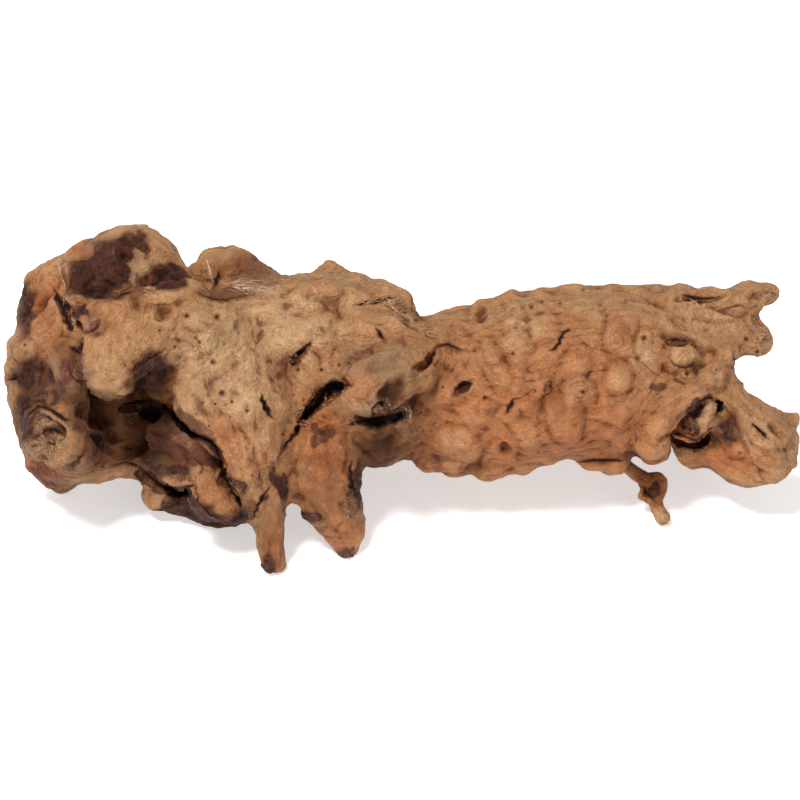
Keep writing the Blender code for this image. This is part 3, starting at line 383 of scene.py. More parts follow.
# Splits and creases as lines on the surface seen from the front: (across, up, half width). The lines
# under the cave's rim, under the shard, under the stub (flap_edge) and root_shadow are painted shadows
CRACKS = {
    "stub_gap": [
        (10, 13, 0.16), (14, 17.5, 0.64), (16.5, 22, 0.64), (18.5, 27, 0.4), (24, 28, 0.64),
        (29, 25.5, 0.48), (34, 24.5, 0.2), (40.5, 25.5, 0.12),
    ],
    "trunk_slit": [(26.5, 2, 0.15), (28.5, 6, 0.66), (31.5, 8, 0.72), (34, 7.5, 0.48), (36, 6, 0.12)],
    "trunk_split": [
        (52.5, -7.5, 0.2), (55, -3, 0.9), (57, 0.5, 0.5), (61, 1, 0.25), (65, 4, 0.25), (69.5, 7, 0.15),
    ],
    "trunk_nick": [(75, 4.5, 0.3), (75.5, 7, 0.9), (76, 9.5, 0.3)],
    "upper_split": [
        (74, 24, 0.14), (77.5, 25.5, 0.54), (79.5, 28.5, 0.72), (81, 33, 0.54), (84, 35, 0.63),
        (86, 34.5, 0.18), (91, 30, 0.18), (96, 26, 0.23), (102, 24.5, 0.18), (110, 21, 0.23),
        (117.5, 21.5, 0.23), (122.5, 17.5, 0.32), (127.5, 13, 0.32), (134, 10, 0.18),
    ],
    "upper_split_low": [(87.5, 33, 0.12), (91.5, 28.5, 0.17), (95.5, 24.5, 0.17), (100, 22, 0.1)],
    "egg_rim": [
        (80, 17.5, 0.09), (76, 8.5, 0.12), (73.5, 0, 0.12), (72.5, -10, 0.15), (75.5, -17, 0.18),
        (81, -20, 0.18), (86, -17, 0.15), (89, -11.5, 0.09),
    ],
    "egg_arc": [(60.5, -5, 0.12), (65.5, -10.5, 0.2), (70.5, -15.5, 0.2), (74, -19.5, 0.12)],
    "knot_rim": [
        (85.5, 6, 0.15), (87, 9, 0.25), (91, 9.5, 0.2), (94, 6.5, 0.25), (94, 3, 0.25), (90, 0.5, 0.25),
        (86.5, 2, 0.15),
    ],
    "big_knot_low": [
        (103.5, 8.5, 0.07), (106, 4.5, 0.2), (110, 3, 0.2), (114, 4.5, 0.24), (115.5, 7, 0.12),
    ],
    "big_knot_arc": [(101.5, 4, 0.12), (106, 0, 0.25), (111, -1, 0.25), (117, 2, 0.12)],
    "slot": [(141.5, 52.5, 0.3), (146.5, 51, 0.9), (152, 50.5, 0.8), (157, 51, 0.5), (161.5, 52, 0.2)],
    "branch_line": [
        (157, 44, 0.15), (164, 46, 0.4), (170, 47.5, 0.4), (172.5, 46, 0.25), (176.5, 46.5, 0.2),
    ],
    "branch_ring": [(174, 43.5, 0.15), (175, 49, 0.25), (177, 54, 0.25), (175.5, 57, 0.15)],
    "branch_grain": [(150, 45, 0.12), (156, 48, 0.2), (161, 49.5, 0.12)],
    "prong_grain": [(151.5, 41, 0.12), (165, 39.5, 0.15), (174, 36.5, 0.2), (179.5, 39, 0.12)],
    "prong_grain_low": [(167.5, 36, 0.12), (175, 33.5, 0.17), (181, 34.5, 0.1)],
    "oval_top": [
        (134, 31, 0.13), (138.5, 30, 0.58), (143.5, 29.5, 0.51), (147.5, 26.5, 0.51), (150.5, 23.5, 0.16),
    ],
    "oval_rim": [
        (135.5, 25.5, 0.15), (134.5, 21.5, 0.3), (137, 17.5, 0.45), (143, 16, 0.55), (147, 18.5, 0.4),
        (148, 23, 0.2),
    ],
    "knotlet_rim": [(140, 14.5, 0.15), (141, 11, 0.35), (144, 10, 0.4), (146.5, 12, 0.2)],
    "arch": [
        (135, -15, 0.1), (140, -8.5, 0.24), (145, -4, 0.43), (150, -0.5, 0.58), (154.5, 1.5, 0.72),
        (157.5, 0.5, 0.38), (159.5, -2, 0.1),
    ],
    # painted shadow under the shard
    "under_shard": [
        (134, -18, 0.34), (138, -16.5, 0.62), (143, -18.5, 0.48), (148.5, -20.5, 0.62),
        (153.5, -18, 0.58), (156.5, -14.5, 0.14),
    ],
    "lobe_split": [
        (158, 0.5, 0.28), (163, -4, 0.35), (166.5, -8.5, 0.42), (169, -15, 0.28), (171, -21.5, 0.21),
        (175, -28.5, 0.28), (178.5, -34, 0.24), (181, -39, 0.32),
    ],
    "lobe_bend": [
        (171.5, -15, 0.09), (176, -21.5, 0.21), (182.5, -25, 0.21), (189.5, -24.5, 0.18),
        (195, -24, 0.09),
    ],
    "lobe_slit": [(176, -11.5, 0.25), (179, -14.5, 0.9), (181.5, -17, 0.9), (184, -19.5, 0.25)],
    "mouth_of_stub": [(2.5, 11, 0.15), (7.5, 12, 0.3), (12, 14.5, 0.3), (15.5, 18.5, 0.4)],
    "slit_over_leg": [
        (-56, 18.5, 0.2), (-53, 21, 0.72), (-49, 24.5, 0.8), (-46, 27.5, 0.64), (-43.5, 30, 0.16),
    ],
    "slit_left": [
        (-69.5, 3.5, 0.21), (-68.5, -0.5, 0.85), (-66.5, -5, 0.77), (-64.5, -8.5, 0.42),
        (-60.5, -10.5, 0.13),
    ],
    "torn": [
        (-27, 46.5, 0.12), (-21, 47.5, 0.32), (-16, 49, 0.52), (-11, 48.5, 0.4), (-7, 50.5, 0.52),
        (-2, 51, 0.24), (2, 49.5, 0.12),
    ],
    "torn_low": [(-8, 48, 0.15), (-3, 45.5, 0.5), (1, 42, 0.6), (4.5, 39, 0.6), (9, 35, 0.25)],
    "hole_tail": [(-12, 36.5, 0.2), (-10.5, 33.5, 0.9), (-9, 31, 0.5), (-5.5, 29.5, 0.15)],
    "ridge_crease": [
        (-41.5, 53.5, 0.12), (-37, 51, 0.25), (-32, 51.5, 0.25), (-28.5, 54.5, 0.25), (-27.5, 57.5, 0.12),
    ],
    "crevice": [
        (-105, 56, 0.16), (-99.5, 52.5, 0.4), (-93.5, 50.5, 0.56), (-87.5, 50, 0.48), (-81, 51.5, 0.36),
        (-74, 53, 0.28), (-67.5, 54, 0.12),
    ],
    "ridge_line": [(-69, 58.5, 0.12), (-60, 60, 0.2), (-52, 58.5, 0.2), (-44, 61, 0.15), (-35, 62, 0.1)],
    "back_hole": [(-90.5, 64.5, 0.3), (-91.5, 60.5, 1.1), (-93, 56.5, 0.5)],
    "left_mouth": [
        (-173, 55.5, 0.3), (-170.5, 50, 1), (-168, 44.5, 1.1), (-166, 39, 1), (-164.5, 34.5, 0.3),
    ],
    "left_mouth_branch": [(-168.5, 49, 0.3), (-165, 45.5, 1.5), (-162.5, 42.5, 0.5)],
    "brow_line": [
        (-162.5, 43, 0.15), (-161, 37.5, 0.35), (-157.5, 33.5, 0.35), (-152.5, 35, 0.7), (-150, 39, 0.2),
    ],
    "brow_top": [(-142, 51, 0.15), (-138.5, 53, 0.8), (-134.5, 54, 0.4)],
    "fold_line": [
        (-130, 49.5, 0.15), (-122.5, 47.5, 0.35), (-115, 47.5, 0.35), (-110, 50, 0.25),
        (-107.5, 53, 0.15),
    ],
    "fold_top": [(-124, 56.5, 0.15), (-118.5, 55, 0.25), (-112, 56.5, 0.25), (-108, 59.5, 0.15)],
    "cave_edge": [(-135, 13, 0.25), (-129, 18, 0.7), (-124, 21.5, 0.7), (-117.5, 25, 0.2)],
    "mass_gap": [
        (-118.5, -1.5, 0.32), (-114, -6, 0.8), (-110, -11.5, 0.96), (-105, -16, 0.88),
        (-98.5, -18.5, 0.64), (-93, -21.5, 0.72), (-90.5, -27.5, 0.72), (-89.5, -33.5, 0.64),
        (-87, -40, 0.8), (-83.5, -45.5, 0.96), (-81, -50, 0.64), (-78.5, -53.5, 0.24),
    ],
    "mass_edge": [
        (-127, -23.5, 0.15), (-124.5, -26, 0.35), (-121, -25.5, 0.25), (-117, -26, 0.3),
        (-113.5, -29, 0.2),
    ],
    "mass_low": [(-107.5, -30, 0.15), (-102.5, -29.5, 0.3), (-98.5, -32.5, 0.4), (-99.5, -37.5, 0.3)],
    "belly": [
        (-132, -33, 0.25), (-126.5, -36.5, 0.7), (-121.5, -41.5, 0.7), (-117, -44, 1), (-111, -44.5, 1.1),
        (-104.5, -43, 0.7),
    ],
    "toe_left": [
        (-102.5, -37, 0.2), (-102, -45, 0.4), (-100.5, -51.5, 0.64), (-96, -56.5, 0.72),
        (-90, -59.5, 0.48), (-83.5, -59.5, 0.24),
    ],
    "foot_split": [
        (-64.5, -42.5, 0.2), (-67.5, -47, 0.7), (-70.5, -51.5, 0.7), (-72.5, -56.5, 0.6),
        (-74, -59.5, 0.25),
    ],
    "leg_seam": [(-69, -26.5, 0.15), (-65.5, -34, 0.3), (-61.5, -42.5, 0.4), (-58, -50, 0.4)],
    "leg_top": [
        (-50, -12, 1.1), (-52, -16.5, 0.9), (-55.5, -20.5, 0.7), (-59, -26, 0.4), (-61, -31, 0.15),
    ],
    "leg_crack": [
        (-50, -12, 1.1), (-46, -6.5, 1.5), (-41.5, -2.5, 1.8), (-38, 3, 2.1), (-34, 7, 2.3),
        (-27.5, 7, 1.5),
    ],
    "leg_side": [(-24, -29, 0.24), (-25, -35, 0.72), (-24, -42, 0.9), (-22, -48, 0.42)],
    # painted shadow under the stub
    "flap_edge": [(-24, -12, 0.91), (-17, -10.5, 1.05), (-10, -9, 0.91), (-4, -7, 0.56), (1, -5.5, 0.21)],
    "stump_top": [
        (-189, -10, 0.25), (-185, -6.5, 0.6), (-180.5, -3, 0.6), (-176, -4, 0.6), (-171.5, -7, 0.8),
        (-167, -10, 0.6), (-164, -10, 0.2),
    ],
    "stump_slot": [(-177, -16, 0.2), (-174, -14.5, 0.9), (-171, -15.5, 0.9), (-168.5, -17.5, 0.25)],
    "stump_heart": [
        (-178, -20.5, 0.1), (-174.5, -21, 0.17), (-171.5, -24, 0.17), (-169.5, -28, 0.17),
        (-172.5, -29, 0.17), (-177, -26, 0.17), (-178, -21.5, 0.1),
    ],
    "stump_low": [(-171.5, -30.5, 0.15), (-166, -33, 0.4), (-161, -30.5, 0.5), (-157.5, -25.5, 0.3)],
    "corner_line": [(-166, -37, 0.15), (-162.5, -33, 0.5), (-159.5, -30.5, 0.2)],
    "ridge_gap": [
        (-148, -34.5, 0.12), (-143, -32.5, 0.4), (-136.5, -31, 0.48), (-131, -33, 0.56),
        (-127, -36, 0.32),
    ],
    "left_seam": [
        (-176.5, 20, 0.1), (-179, 14, 0.35), (-180.5, 8.5, 0.42), (-179, 1.5, 0.28), (-175, -2, 0.14),
    ],
    "left_pit": [(-196, 10, 0.3), (-193, 10.5, 0.9), (-190.5, 11.5, 0.3)],
    "chunk_swirl": [(-166, 19, 0.2), (-165, 14, 0.45), (-162, 9.5, 0.5), (-158, 9.5, 0.4)],
    "chunk_swirl_in": [(-163, 18.5, 0.15), (-162, 14.5, 0.35), (-158.5, 13, 0.25)],
    "chunk_hole": [(-164.5, 26, 0.4), (-162, 25, 1.2), (-159.5, 23.5, 0.4)],
    # painted shadow under the cave's rim
    "cave_shadow": [(-139, -2, 0.4), (-132.5, -1, 0.96), (-126, -0.5, 0.8), (-120, -1, 0.4)],
    "twig_line": [(121, -43, 0.3), (123, -46, 0.8), (125.5, -48.5, 0.7), (127.5, -51, 0.25)],
    "root_shadow": [(89, -31, 0.25), (96, -30, 0.8), (103, -30, 0.8), (110, -30, 0.5)],
    "notch_edge": [(166.5, 24, 0.25), (167.5, 19, 0.6), (168, 15, 0.25)],
}

# Small pits: (across, up, radius)
PITS = [
    (-91.5, 41.5, 1.3), (-93.5, 19, 1.2), (-89, 3.5, 1.4), (-102, 31, 0.8), (-100.5, 29, 0.8),
    (-76.5, -5.5, 0.9), (-51, 15, 0.9), (-39.5, 15, 0.9), (-33.5, 25, 0.6), (-30.5, 17.5, 0.8),
    (-126.5, 61, 2), (-117.5, 25.5, 0.6), (42.5, 1, 0.9), (67.5, 4.5, 0.6), (51.5, -24, 1.2),
    (87.5, -12.5, 0.8), (91.5, 4, 1.1), (21.5, 6.5, 0.7), (65.5, 46.5, 1), (71, 49, 0.7), (80, 48.5, 0.8),
    (91.5, 55, 0.6), (143.5, 13, 1), (173, 30.5, 1.2), (170, -26.5, 0.7), (178.5, 24, 0.8),
    (-74, -37.5, 0.7), (-58.5, -17, 0.7), (-186.5, 34, 0.8), (-187.5, 27.5, 0.7), (-112.5, 26.5, 0.7),
    (-106.5, 42, 1.1), (122, 31, 1.2), (128, 47, 0.8), (-67, -80.5, 1.5), (-84, -1, 0.7),
    (-98.5, -1.5, 0.6), (-96, 2.5, 0.5), (-92.5, -2, 0.5), (-87.5, -2.5, 0.5), (-95.5, -13, 0.6),
    (-85, -8.5, 0.5), (-102, -7, 0.5), (-48.5, 0, 0.6), (-53, 2.5, 0.5), (56.5, 23, 0.8), (150, 48, 0.7),
    (6, -26, 0.6), (18.5, -10, 0.5), (60, -20, 0.5), (69, -26, 0.5), (100, 44, 0.5), (113, 50, 0.6),
    (-120, 35, 0.8), (-185, 50, 0.8),
]

# Bundles of splinters: line they stand on, their run (across, up), how many, radius, lift, how bleached
BUNDLES = [
    ((-8, 50), (12, 33), (7, -3.5), 84, 0.42, 1.1, 0.0),
    ((-22, 49), (-3, 49), (6, 1.5), 26, 0.26, 0.5, 0.2),
    ((-98, 60), (-72, 55), (16, -2), 36, 0.13, 0.4, 1.0),
    ((-96, 72), (-97, 56), (3, -9), 14, 0.16, 0.4, 1.0),
    ((-24, -3), (-4, -3), (3, -3.5), 14, 0.34, 0.3, 0.3), ((2, -3), (6, -8), (2, -4), 7, 0.5, 0.3, 0.4),
    ((-172, 74), (-168, 52), (2, -9), 8, 0.18, 0.3, 0.9),
    ((-38, 6), (-50, -8), (-7, -5), 9, 0.4, -0.6, -0.6),
    ((-72, -38), (-62, -28), (-4, -8), 9, 0.4, 0.1, -0.2),
    ((174, 38), (184, 30), (5, -1), 14, 0.3, 0.3, 0.2), ((176, 54), (186, 50), (6, 0), 10, 0.3, 0.3, 0.2),
]
BUNDLE_SEED = 3

# Patches of the surface as seen from the front: (across, up, half width, half height, turn, strength).
# Dark bark, with painted shadow in it under the stub, beside the leg's right edge and in the valley under
# the cave, and the places where bark is worn off
BARK_AND_PAINTED_SHADOW = [
    (-147, 66, 19, 13, 30, 1), (-138, 74, 9, 8, 0, 1), (-130, 75, 5, 9, 0, 0.8),
    (-116, 61, 9.5, 6, -8, 1), (-186, 45, 4, 11, 0, 0.8), (-188, 11, 7, 6, 0, 0.7),
    (-187, -8, 4, 16, 0, 0.6), (-126, 13, 10, 11, 0, 0.9), (-149, -21, 9, 8, 0, 0.5),
    (-131, -10, 9, 6, 0, 0.5), (-96, -56, 22, 8, 0, 1), (-108, -50, 8, 6, 0, 0.8),
    (-117, -36, 12, 4, 0, 0.6), (-45, -58.5, 5, 3.4, -35, 0.9), (-27.5, -79, 5, 4, 0, 0.9),
    (-66.5, -81, 4, 5, 0, 1), (164, -14, 4, 7, 0, 0.8), (148, -4, 5, 4, 0, 0.8), (-160, 44, 5, 4, 0, 0.7),
    # (-22.5, -41) and (-8, -9) are painted shadow: the strip beside the leg and the band under the stub
    (-22.5, -41, 2.5, 11, 0, 1), (-61, -40, 2.2, 9, 15, 0.7), (-8, -9, 12, 3.5, 15, 0.9),
    (124, -46, 5, 4, 45, 0.8), (-82, -43, 3, 8, 25, 0.8),
]
BARE = [
    (-131, 63, 3.5, 12, 12, 1), (-160, 75, 3, 4, 0, 0.8), (-172, 40, 5, 6, 0, 0.6),
    (-178, 28, 7, 8, 0, 0.9), (-156, 75, 3, 2, 0, 0.5), (-97, -41, 6, 7, 0, 1), (-90, -49, 9, 8, -35, 1),
    (-121, -46, 4, 7, 0, 0.6),
]
# Purplish skin, and brown patches: stains, and painted shade on the stub's shadowed side, the flap under
# it, the strip beside the leg and the valley under the cave
PLUM = [
    (-108, -19, 17, 13, -25, 1), (-95, -28, 7, 8, 0, 0.9), (-38.5, -18, 7.5, 5, 10, 1),
    (-126, 12, 9, 10, 0, 0.6), (-150, 66, 16, 11, 25, 0.7), (-116, 61, 9, 6, 0, 0.7),
    (129, 7.5, 4.5, 3, 0, 0.7), (163, -13.5, 3, 3, 0, 1), (-151.5, 37, 3, 2.5, 0, 1),
    (31, 6, 5, 3, 30, 0.8), (-112, 32, 9, 5, 0, 0.3), (-160, -14, 8, 6, 0, 0.5), (-185, 8, 10, 8, 0, 0.6),
    (-168, 14, 7, 9, 0, 0.6), (-112, -38, 14, 6, 0, 0.5),
]
BROWN_STAIN_AND_SHADE = [
    (-4, 3.5, 9, 5.5, 48, 0.9), (-3, -4, 6, 4, 0, 0.8), (-38, -46, 6, 10, -30, 0.45),
    (-146, -28, 20, 8, -8, 0.85), (-11, -25, 12, 10, 0, 1), (-66, -72, 6, 8, 0, 0.5),
    (-22, -40, 3, 12, 0, 0.8), (-148, -12, 17, 18, 0, 1), (-122, -32.5, 17, 9, 0, 0.8),
    (-12.5, -26, 12, 11, 0, 0.55), (-54.5, 19, 4, 5, 0, 0.7), (-130, -20, 18, 12, 0, 1),
    (-24, -54, 6, 6, 0, 0.7), (-75, 66, 20, 10, 0, 0.65), (78, 0, 6, 16, 10, 0.6),
    (165, -13, 8, 12, 0, 0.8), (-165, 16, 10, 16, 0, 0.9), (-174, -22, 5, 5, 0, 0.8),
    (-150, 36, 12, 6, 0, 0.6), (140, 30, 11, 2.5, -12, 0.8), (-183, -36, 9, 5, 0, 0.7),
    (120, 27, 3.5, 3, 0, 0.5), (-42, 24, 4, 4, 0, 0.5), (-98, -3, 8, 3, -40, 0.7), (30, 1, 5, 7, 0, 0.5),
    (54, -3, 4, 6, 0, 0.4), (-133, 52, 5, 10, 0, 0.8), (-88, 53, 20, 4, 0, 0.8), (-162, 2, 15, 5, 0, 1),
    (-178, -41, 14, 5, 0, 0.6), (-186, -2, 9, 24, 0, 1), (-184, 14, 10, 9, 0, 0.9),
    (-148, 66, 22, 16, 30, 0.8), (-117, 61, 13, 9, 0, 0.8), (-126, 12, 14, 14, 0, 0.9),
    (-150, -33, 16, 5, 0, 0.7), (-188, 44, 5, 14, 0, 0.9), (-155, 44, 10, 6, 0, 0.6),
    (41, 44, 3, 3, 0, 0.3), (65, 46, 4, 3, 0, 0.5), (44, -4, 2.5, 3, 0, 0.6), (20, -26, 10, 4, 0, 0.5),
]
# Painted shade: places darkened where shade falls under and between the forms
PAINTED_SHADE = [
    (-11, -24, 15, 14, 0, 1), (-12, -9, 16, 6, 0, 1), (3, -12, 5, 20, 0, 0.8),
    (-40, -40, 16, 30, -20, 0.6), (-65, -64, 10, 24, 0, 0.6), (-182, 14, 10, 12, 0, 0.4),
    (-22, -38, 4, 14, 0, 1), (-186, -5, 12, 28, 0, 0.65), (-160, -6, 16, 14, 0, 0.4),
    (-170, -38, 22, 7, 0, 0.5), (-80, 64, 22, 10, 0, 0.4), (-92, -46, 12, 12, 0, 0.4),
    (-5, 4, 7, 6, 40, 0.7), (-140, -30, 32, 8, -10, 0.5), (-14, 10, 18, 12, 0, 0.25),
    (-187, 42, 6, 16, 0, 0.5), (124, -46, 14, 14, 0, 0.35), (-178, 28, 16, 18, 0, 0.2),
    (-58, -22, 5, 14, 20, 0.6), (-36, 6, 12, 8, 45, 0.4),
]
# Bleached wood, warmer orange wood, freshly broken wood and greyed wood
PALE = [
    (-144, 18, 14, 17, 0, 0.3), (-88, 20, 26, 26, 0, 0.75), (-60, 40, 30, 16, 0, 0.75),
    (-92, -46, 8, 10, 0, 0.25), (-78, 2, 12, 20, 0, 0.6), (-14, 14, 22, 12, 20, 0.3),
    (150, 40, 20, 10, 0, 0.5), (178, -18, 8, 14, 0, 0.5), (-48, -36, 5, 8, 0, 0.4),
    (-183, -20, 6, 8, 0, 0.4), (-120, 56, 10, 5, 0, 0.9), (27, -20, 8, 6, 0, 0.3),
    (110, 12, 6, 6, 0, 0.25), (122, 22, 6, 10, 0, 0.5), (141, 22, 6, 4, 0, 0.35), (151, -7, 7, 8, 0, 1),
    (130, -58, 4, 4, 0, 0.9), (-178, -17, 9, 10, 0, 0.8), (-181, 31, 8, 8, 0, 0.5),
    (-131.5, 65, 4, 10, 15, 1), (-70, -22, 6, 10, 0, 0.6), (-168, 73, 6, 14, 0, 0.5),
    (-90, 71, 8, 4, 0, 0.6), (0, -6, 6, 5, 0, 0.7), (-14, -3.5, 13, 2.5, 6, 1), (86, 4, 6, 5, 0, 0.3),
    (60, 36, 12, 8, 0, 0.4), (-30, 62, 14, 4, 0, 0.5),
]
WARM = [
    (70, -12, 80, 26, 0, 0.75), (80, 20, 70, 18, 0, 0.45), (-178, 32, 13, 14, 0, 0.65),
    (-62, -72, 8, 14, 0, 0.9), (-30, -60, 12, 14, 0, 0.8), (-38, -32, 16, 24, 0, 0.9),
    (165, -28, 18, 10, 0, 0.9), (125, -45, 14, 16, 0, 0.9), (-84, -20, 18, 16, 0, 0.6),
    (-12, -24, 14, 12, 0, 0.8), (-160, 76, 6, 6, 0, 0.8), (-150, 44, 14, 6, 0, 0.4),
    (-176, 50, 8, 14, 0, 0.7), (-88, 66, 14, 8, 0, 0.6), (30, -20, 24, 10, 0, 0.8),
    (-20, 8, 9, 9, 0, 0.8), (-92, -48, 12, 12, 0, 0.4), (-38, -12, 10, 8, 0, 0.8),
    (40, 0, 30, 14, 0, 0.4), (-182, -38, 14, 8, 0, 1), (-164, 10, 5, 4, 0, 0.9), (-115, 8, 3, 10, 0, 0.9),
]
FRESH = [
    (-178, -18, 12, 13, 0, 1), (4, 42, 12, 6, -35, 0.9), (-14, -2, 11, 4, 5, 0.6),
    (181, 31, 4, 5, 0, 0.7), (186, 53, 4, 5, 0, 0.7), (-22, -54, 8, 7, 0, 0.6), (2, -6, 5, 4, 0, 0.8),
    (-85, 61, 16, 4, 0, 0.5),
]
GREY = [
    (-12, 19, 18, 9, 15, 0.9), (-183, -4, 8, 14, 0, 0.5), (-186, 28, 6, 8, 0, 0.4),
    (-30, 60, 20, 4, 0, 0.6), (-166, 14, 9, 12, 0, 0.6), (-118, -28, 12, 5, 0, 0.6),
    (-150, 63, 14, 6, 0, 0.4), (-176, -12, 12, 5, 0, 0.5),
]


def to_world(points):
    """Picture frame to world, mm: (across, up) x (1 - out / eye distance), then leaned back by LEAN."""
    across, up, out = points[:, 0], points[:, 1], points[:, 2]
    nearness = 1 - out / EYE_DISTANCE
    across, up = across * nearness, up * nearness
    sine, cosine = math.sin(LEAN), math.cos(LEAN)
    y, z = up * sine - out * cosine, up * cosine + out * sine
    return np.stack([across - MIDDLE[0], y - MIDDLE[1], z - GROUND], 1)


def to_picture(points):
    """World to picture frame, mm: the inverse of to_world."""
    sine, cosine = math.sin(LEAN), math.cos(LEAN)
    x, y, z = points[:, 0] + MIDDLE[0], points[:, 1] + MIDDLE[1], points[:, 2] + GROUND
    up, out = y * sine + z * cosine, z * sine - y * cosine
    nearness = 1 - out / EYE_DISTANCE
    return np.stack([x / nearness, up / nearness, out], 1)


def spline_through(stations, per_gap=6):
    """A Catmull-Rom curve through the stations.

    In the gap from b to c it is 0.5 (2b + (c - a) t + (2a - 5b + 4c - d) t^2 + (3b - a - 3c + d) t^3).
    """
    knots = np.array(stations, float)
    knots = np.vstack([2 * knots[0] - knots[1], knots, 2 * knots[-1] - knots[-2]])
    t = np.linspace(0, 1, per_gap, endpoint=False)[:, None]
    pieces = []
    for a, b, c, d in zip(knots, knots[1:], knots[2:], knots[3:]):
        pieces.append(
            0.5 * (
                2 * b + (c - a) * t
                + (2 * a - 5 * b + 4 * c - d) * t**2 + (3 * b - a - 3 * c + d) * t**3
            )
        )
    return np.vstack([*pieces, knots[-2]])


def unit(vectors):
    """Each vector divided by its length."""
    return vectors / np.maximum(np.linalg.norm(vectors, axis=-1, keepdims=True), 1e-9)


def round_ended(line):
    """The line with a half ball at each end: centre + r sin(a) outwards, radius r cos(a)."""
    angles = np.radians([25, 48, 66, 80, 88])
    ends = []
    for end, inner in ((line[0], line[1]), (line[-1], line[-2])):
        away = unit(end[:3] - inner[:3])
        centres = end[:3] + away * (end[3] * np.sin(angles))[:, None]
        ends.append(np.column_stack([centres, end[3] * np.cos(angles)]))
    return np.vstack([ends[0][::-1], line, ends[1]])


def tube(line, around=26):
    """A circle carried along the line, centre + radius (cos a n + sin a b), closed at two poles.

    The line holds world positions and radii in millimetres. Returns vertices, quads and triangles.
    """
    centre, radius = line[:, :3], line[:, 3]
    tangent = unit(np.gradient(centre, axis=0))
    aside = np.eye(3)[np.argmin(np.abs(tangent).max(0))]
    normal = unit(np.cross(tangent, aside))
    binormal = np.cross(tangent, normal)
    angle = np.linspace(0, 2 * np.pi, around, endpoint=False)[None, :, None]
    rings = centre[:, None] + radius[:, None, None] * (
        np.cos(angle) * normal[:, None] + np.sin(angle) * binormal[:, None]
    )
    count = len(line)
    index = np.arange(count * around).reshape(count, around)
    step = np.roll(index, -1, axis=1)
    quads = np.stack([index[:-1], step[:-1], step[1:], index[1:]], -1).reshape(-1, 4)
    first, last = count * around, count * around + 1
    start = np.stack([step[0], index[0], np.full(around, first)], -1)
    stop = np.stack([index[-1], step[-1], np.full(around, last)], -1)
    return np.vstack([rings.reshape(-1, 3), centre[:1], centre[-1:]]), quads, np.vstack([start, stop])


def world_line(line):
    """A picture-frame line (across, up, out, radius) as world positions and radii."""
    return np.column_stack([to_world(line[:, :3]), line[:, 3] * (1 - line[:, 2] / EYE_DISTANCE)])


def limb_tube(stations, grow=0.0):
    """The tube of a limb, its radii thickened by grow before the ends are rounded."""
    line = spline_through(stations)
    line[:, 3] += grow
    return tube(world_line(round_ended(line)))


def wart_stations(wart):
    """A wart as two stations close together, so that its two half balls make a ball."""
    across, up, out, radius = wart
    return [(across - 0.1, up, out, radius), (across + 0.1, up, out, radius)]


def mesh_object(name, tubes):
    """One object that holds all these tubes, millimetres to metres."""
    points, faces, start = [], [], 0
    for verts, quads, triangles in tubes:
        points.append(verts)
        faces += (quads + start).tolist() + (triangles + start).tolist()
        start += len(verts)
    mesh = bpy.data.meshes.new(name)
    mesh.from_pydata(np.vstack(points) * MM, [], faces)
    mesh.update()
    obj = bpy.data.objects.new(name, mesh)
    bpy.context.scene.collection.objects.link(obj)
    return obj


def add_modifier(obj, kind, **settings):
    """A modifier with its settings."""
    modifier = obj.modifiers.new(kind.lower(), kind)
    for key, value in settings.items():
        setattr(modifier, key, value)
    return modifier


def apply_modifiers(obj):
    """Replaces the object's mesh by its evaluated one."""
    bpy.context.view_layer.update()
    graph = bpy.context.evaluated_depsgraph_get()
    mesh = bpy.data.meshes.new_from_object(obj.evaluated_get(graph))
    obj.modifiers.clear()
    old, obj.data = obj.data, mesh
    bpy.data.meshes.remove(old)


def vertex_array(mesh, name="co"):
    """Vertex positions or normals as an array of three columns."""
    values = np.empty(len(mesh.vertices) * 3, np.float32)
    mesh.vertices.foreach_get(name, values)
    return values.reshape(-1, 3).astype(float)


def lattice_noise(points, seed):
    """Smooth noise from -1 to 1: random values on a unit lattice, blended by 3t^2 - 2t^3."""
    cell = np.floor(points).astype(np.int64)
    t = points - cell
    t = t * t * (3 - 2 * t)
    total = np.zeros(len(points))
    for corner in np.ndindex(2, 2, 2):
        key = (cell + corner) @ np.array([73856093, 19349663, 83492791]) + seed * 2654435761
        key = (key ^ (key >> 13)) * 1274126177 & 0x7FFFFFFF
        value = ((key ^ (key >> 16)) & 0xFFFF) / 32767.5 - 1
        weight = np.prod(np.where(np.array(corner) == 1, t, 1 - t), axis=1)
        total += value * weight
    return total


def span_from(across, up, ellipse):
    """Distance from an ellipse's middle in half widths: 1 on its rim."""
    centre_across, centre_up, half_width, half_height, turn = ellipse
    cosine, sine = math.cos(math.radians(turn)), math.sin(math.radians(turn))
    x, y = across - centre_across, up - centre_up
    return np.hypot((x * cosine + y * sine) / half_width, (y * cosine - x * sine) / half_height)


def knot_rise(across, up, knot):
    """A knot's rise: a hill (1 - span^2 / 2.4)^1.5 less a faint groove round its foot.

    The groove is 0.2 exp(-((span - 1.4) / 0.3)^2), and span is 1 on the knot's rim.
    """
    span = span_from(across, up, knot[:5])
    hill = np.clip(1 - span**2 / 2.4, 0, None) ** 1.5
    groove = 0.2 * np.exp(-(((span - 1.4) / 0.3) ** 2))
    return KNOT_GAIN * knot[5] * (hill - groove)


def back_knots():
    """Knots of the far side, scattered by a seeded draw along the trunk and the head."""
    draw = np.random.default_rng(BACK_SEED)
    across = np.linspace(*BACK_ACROSS, BACK_KNOTS) + draw.uniform(-6, 6, BACK_KNOTS)
    up = draw.uniform(*BACK_UP, BACK_KNOTS)
    size = draw.uniform(3.5, 10, BACK_KNOTS)
    squash = draw.uniform(0.7, 1.3, BACK_KNOTS)
    turn = draw.uniform(0, 180, BACK_KNOTS)
    rise = np.where(draw.random(BACK_KNOTS) < 0.72, 0.36, -0.3) * size
    return np.column_stack([across, up, size, size * squash, turn, rise])


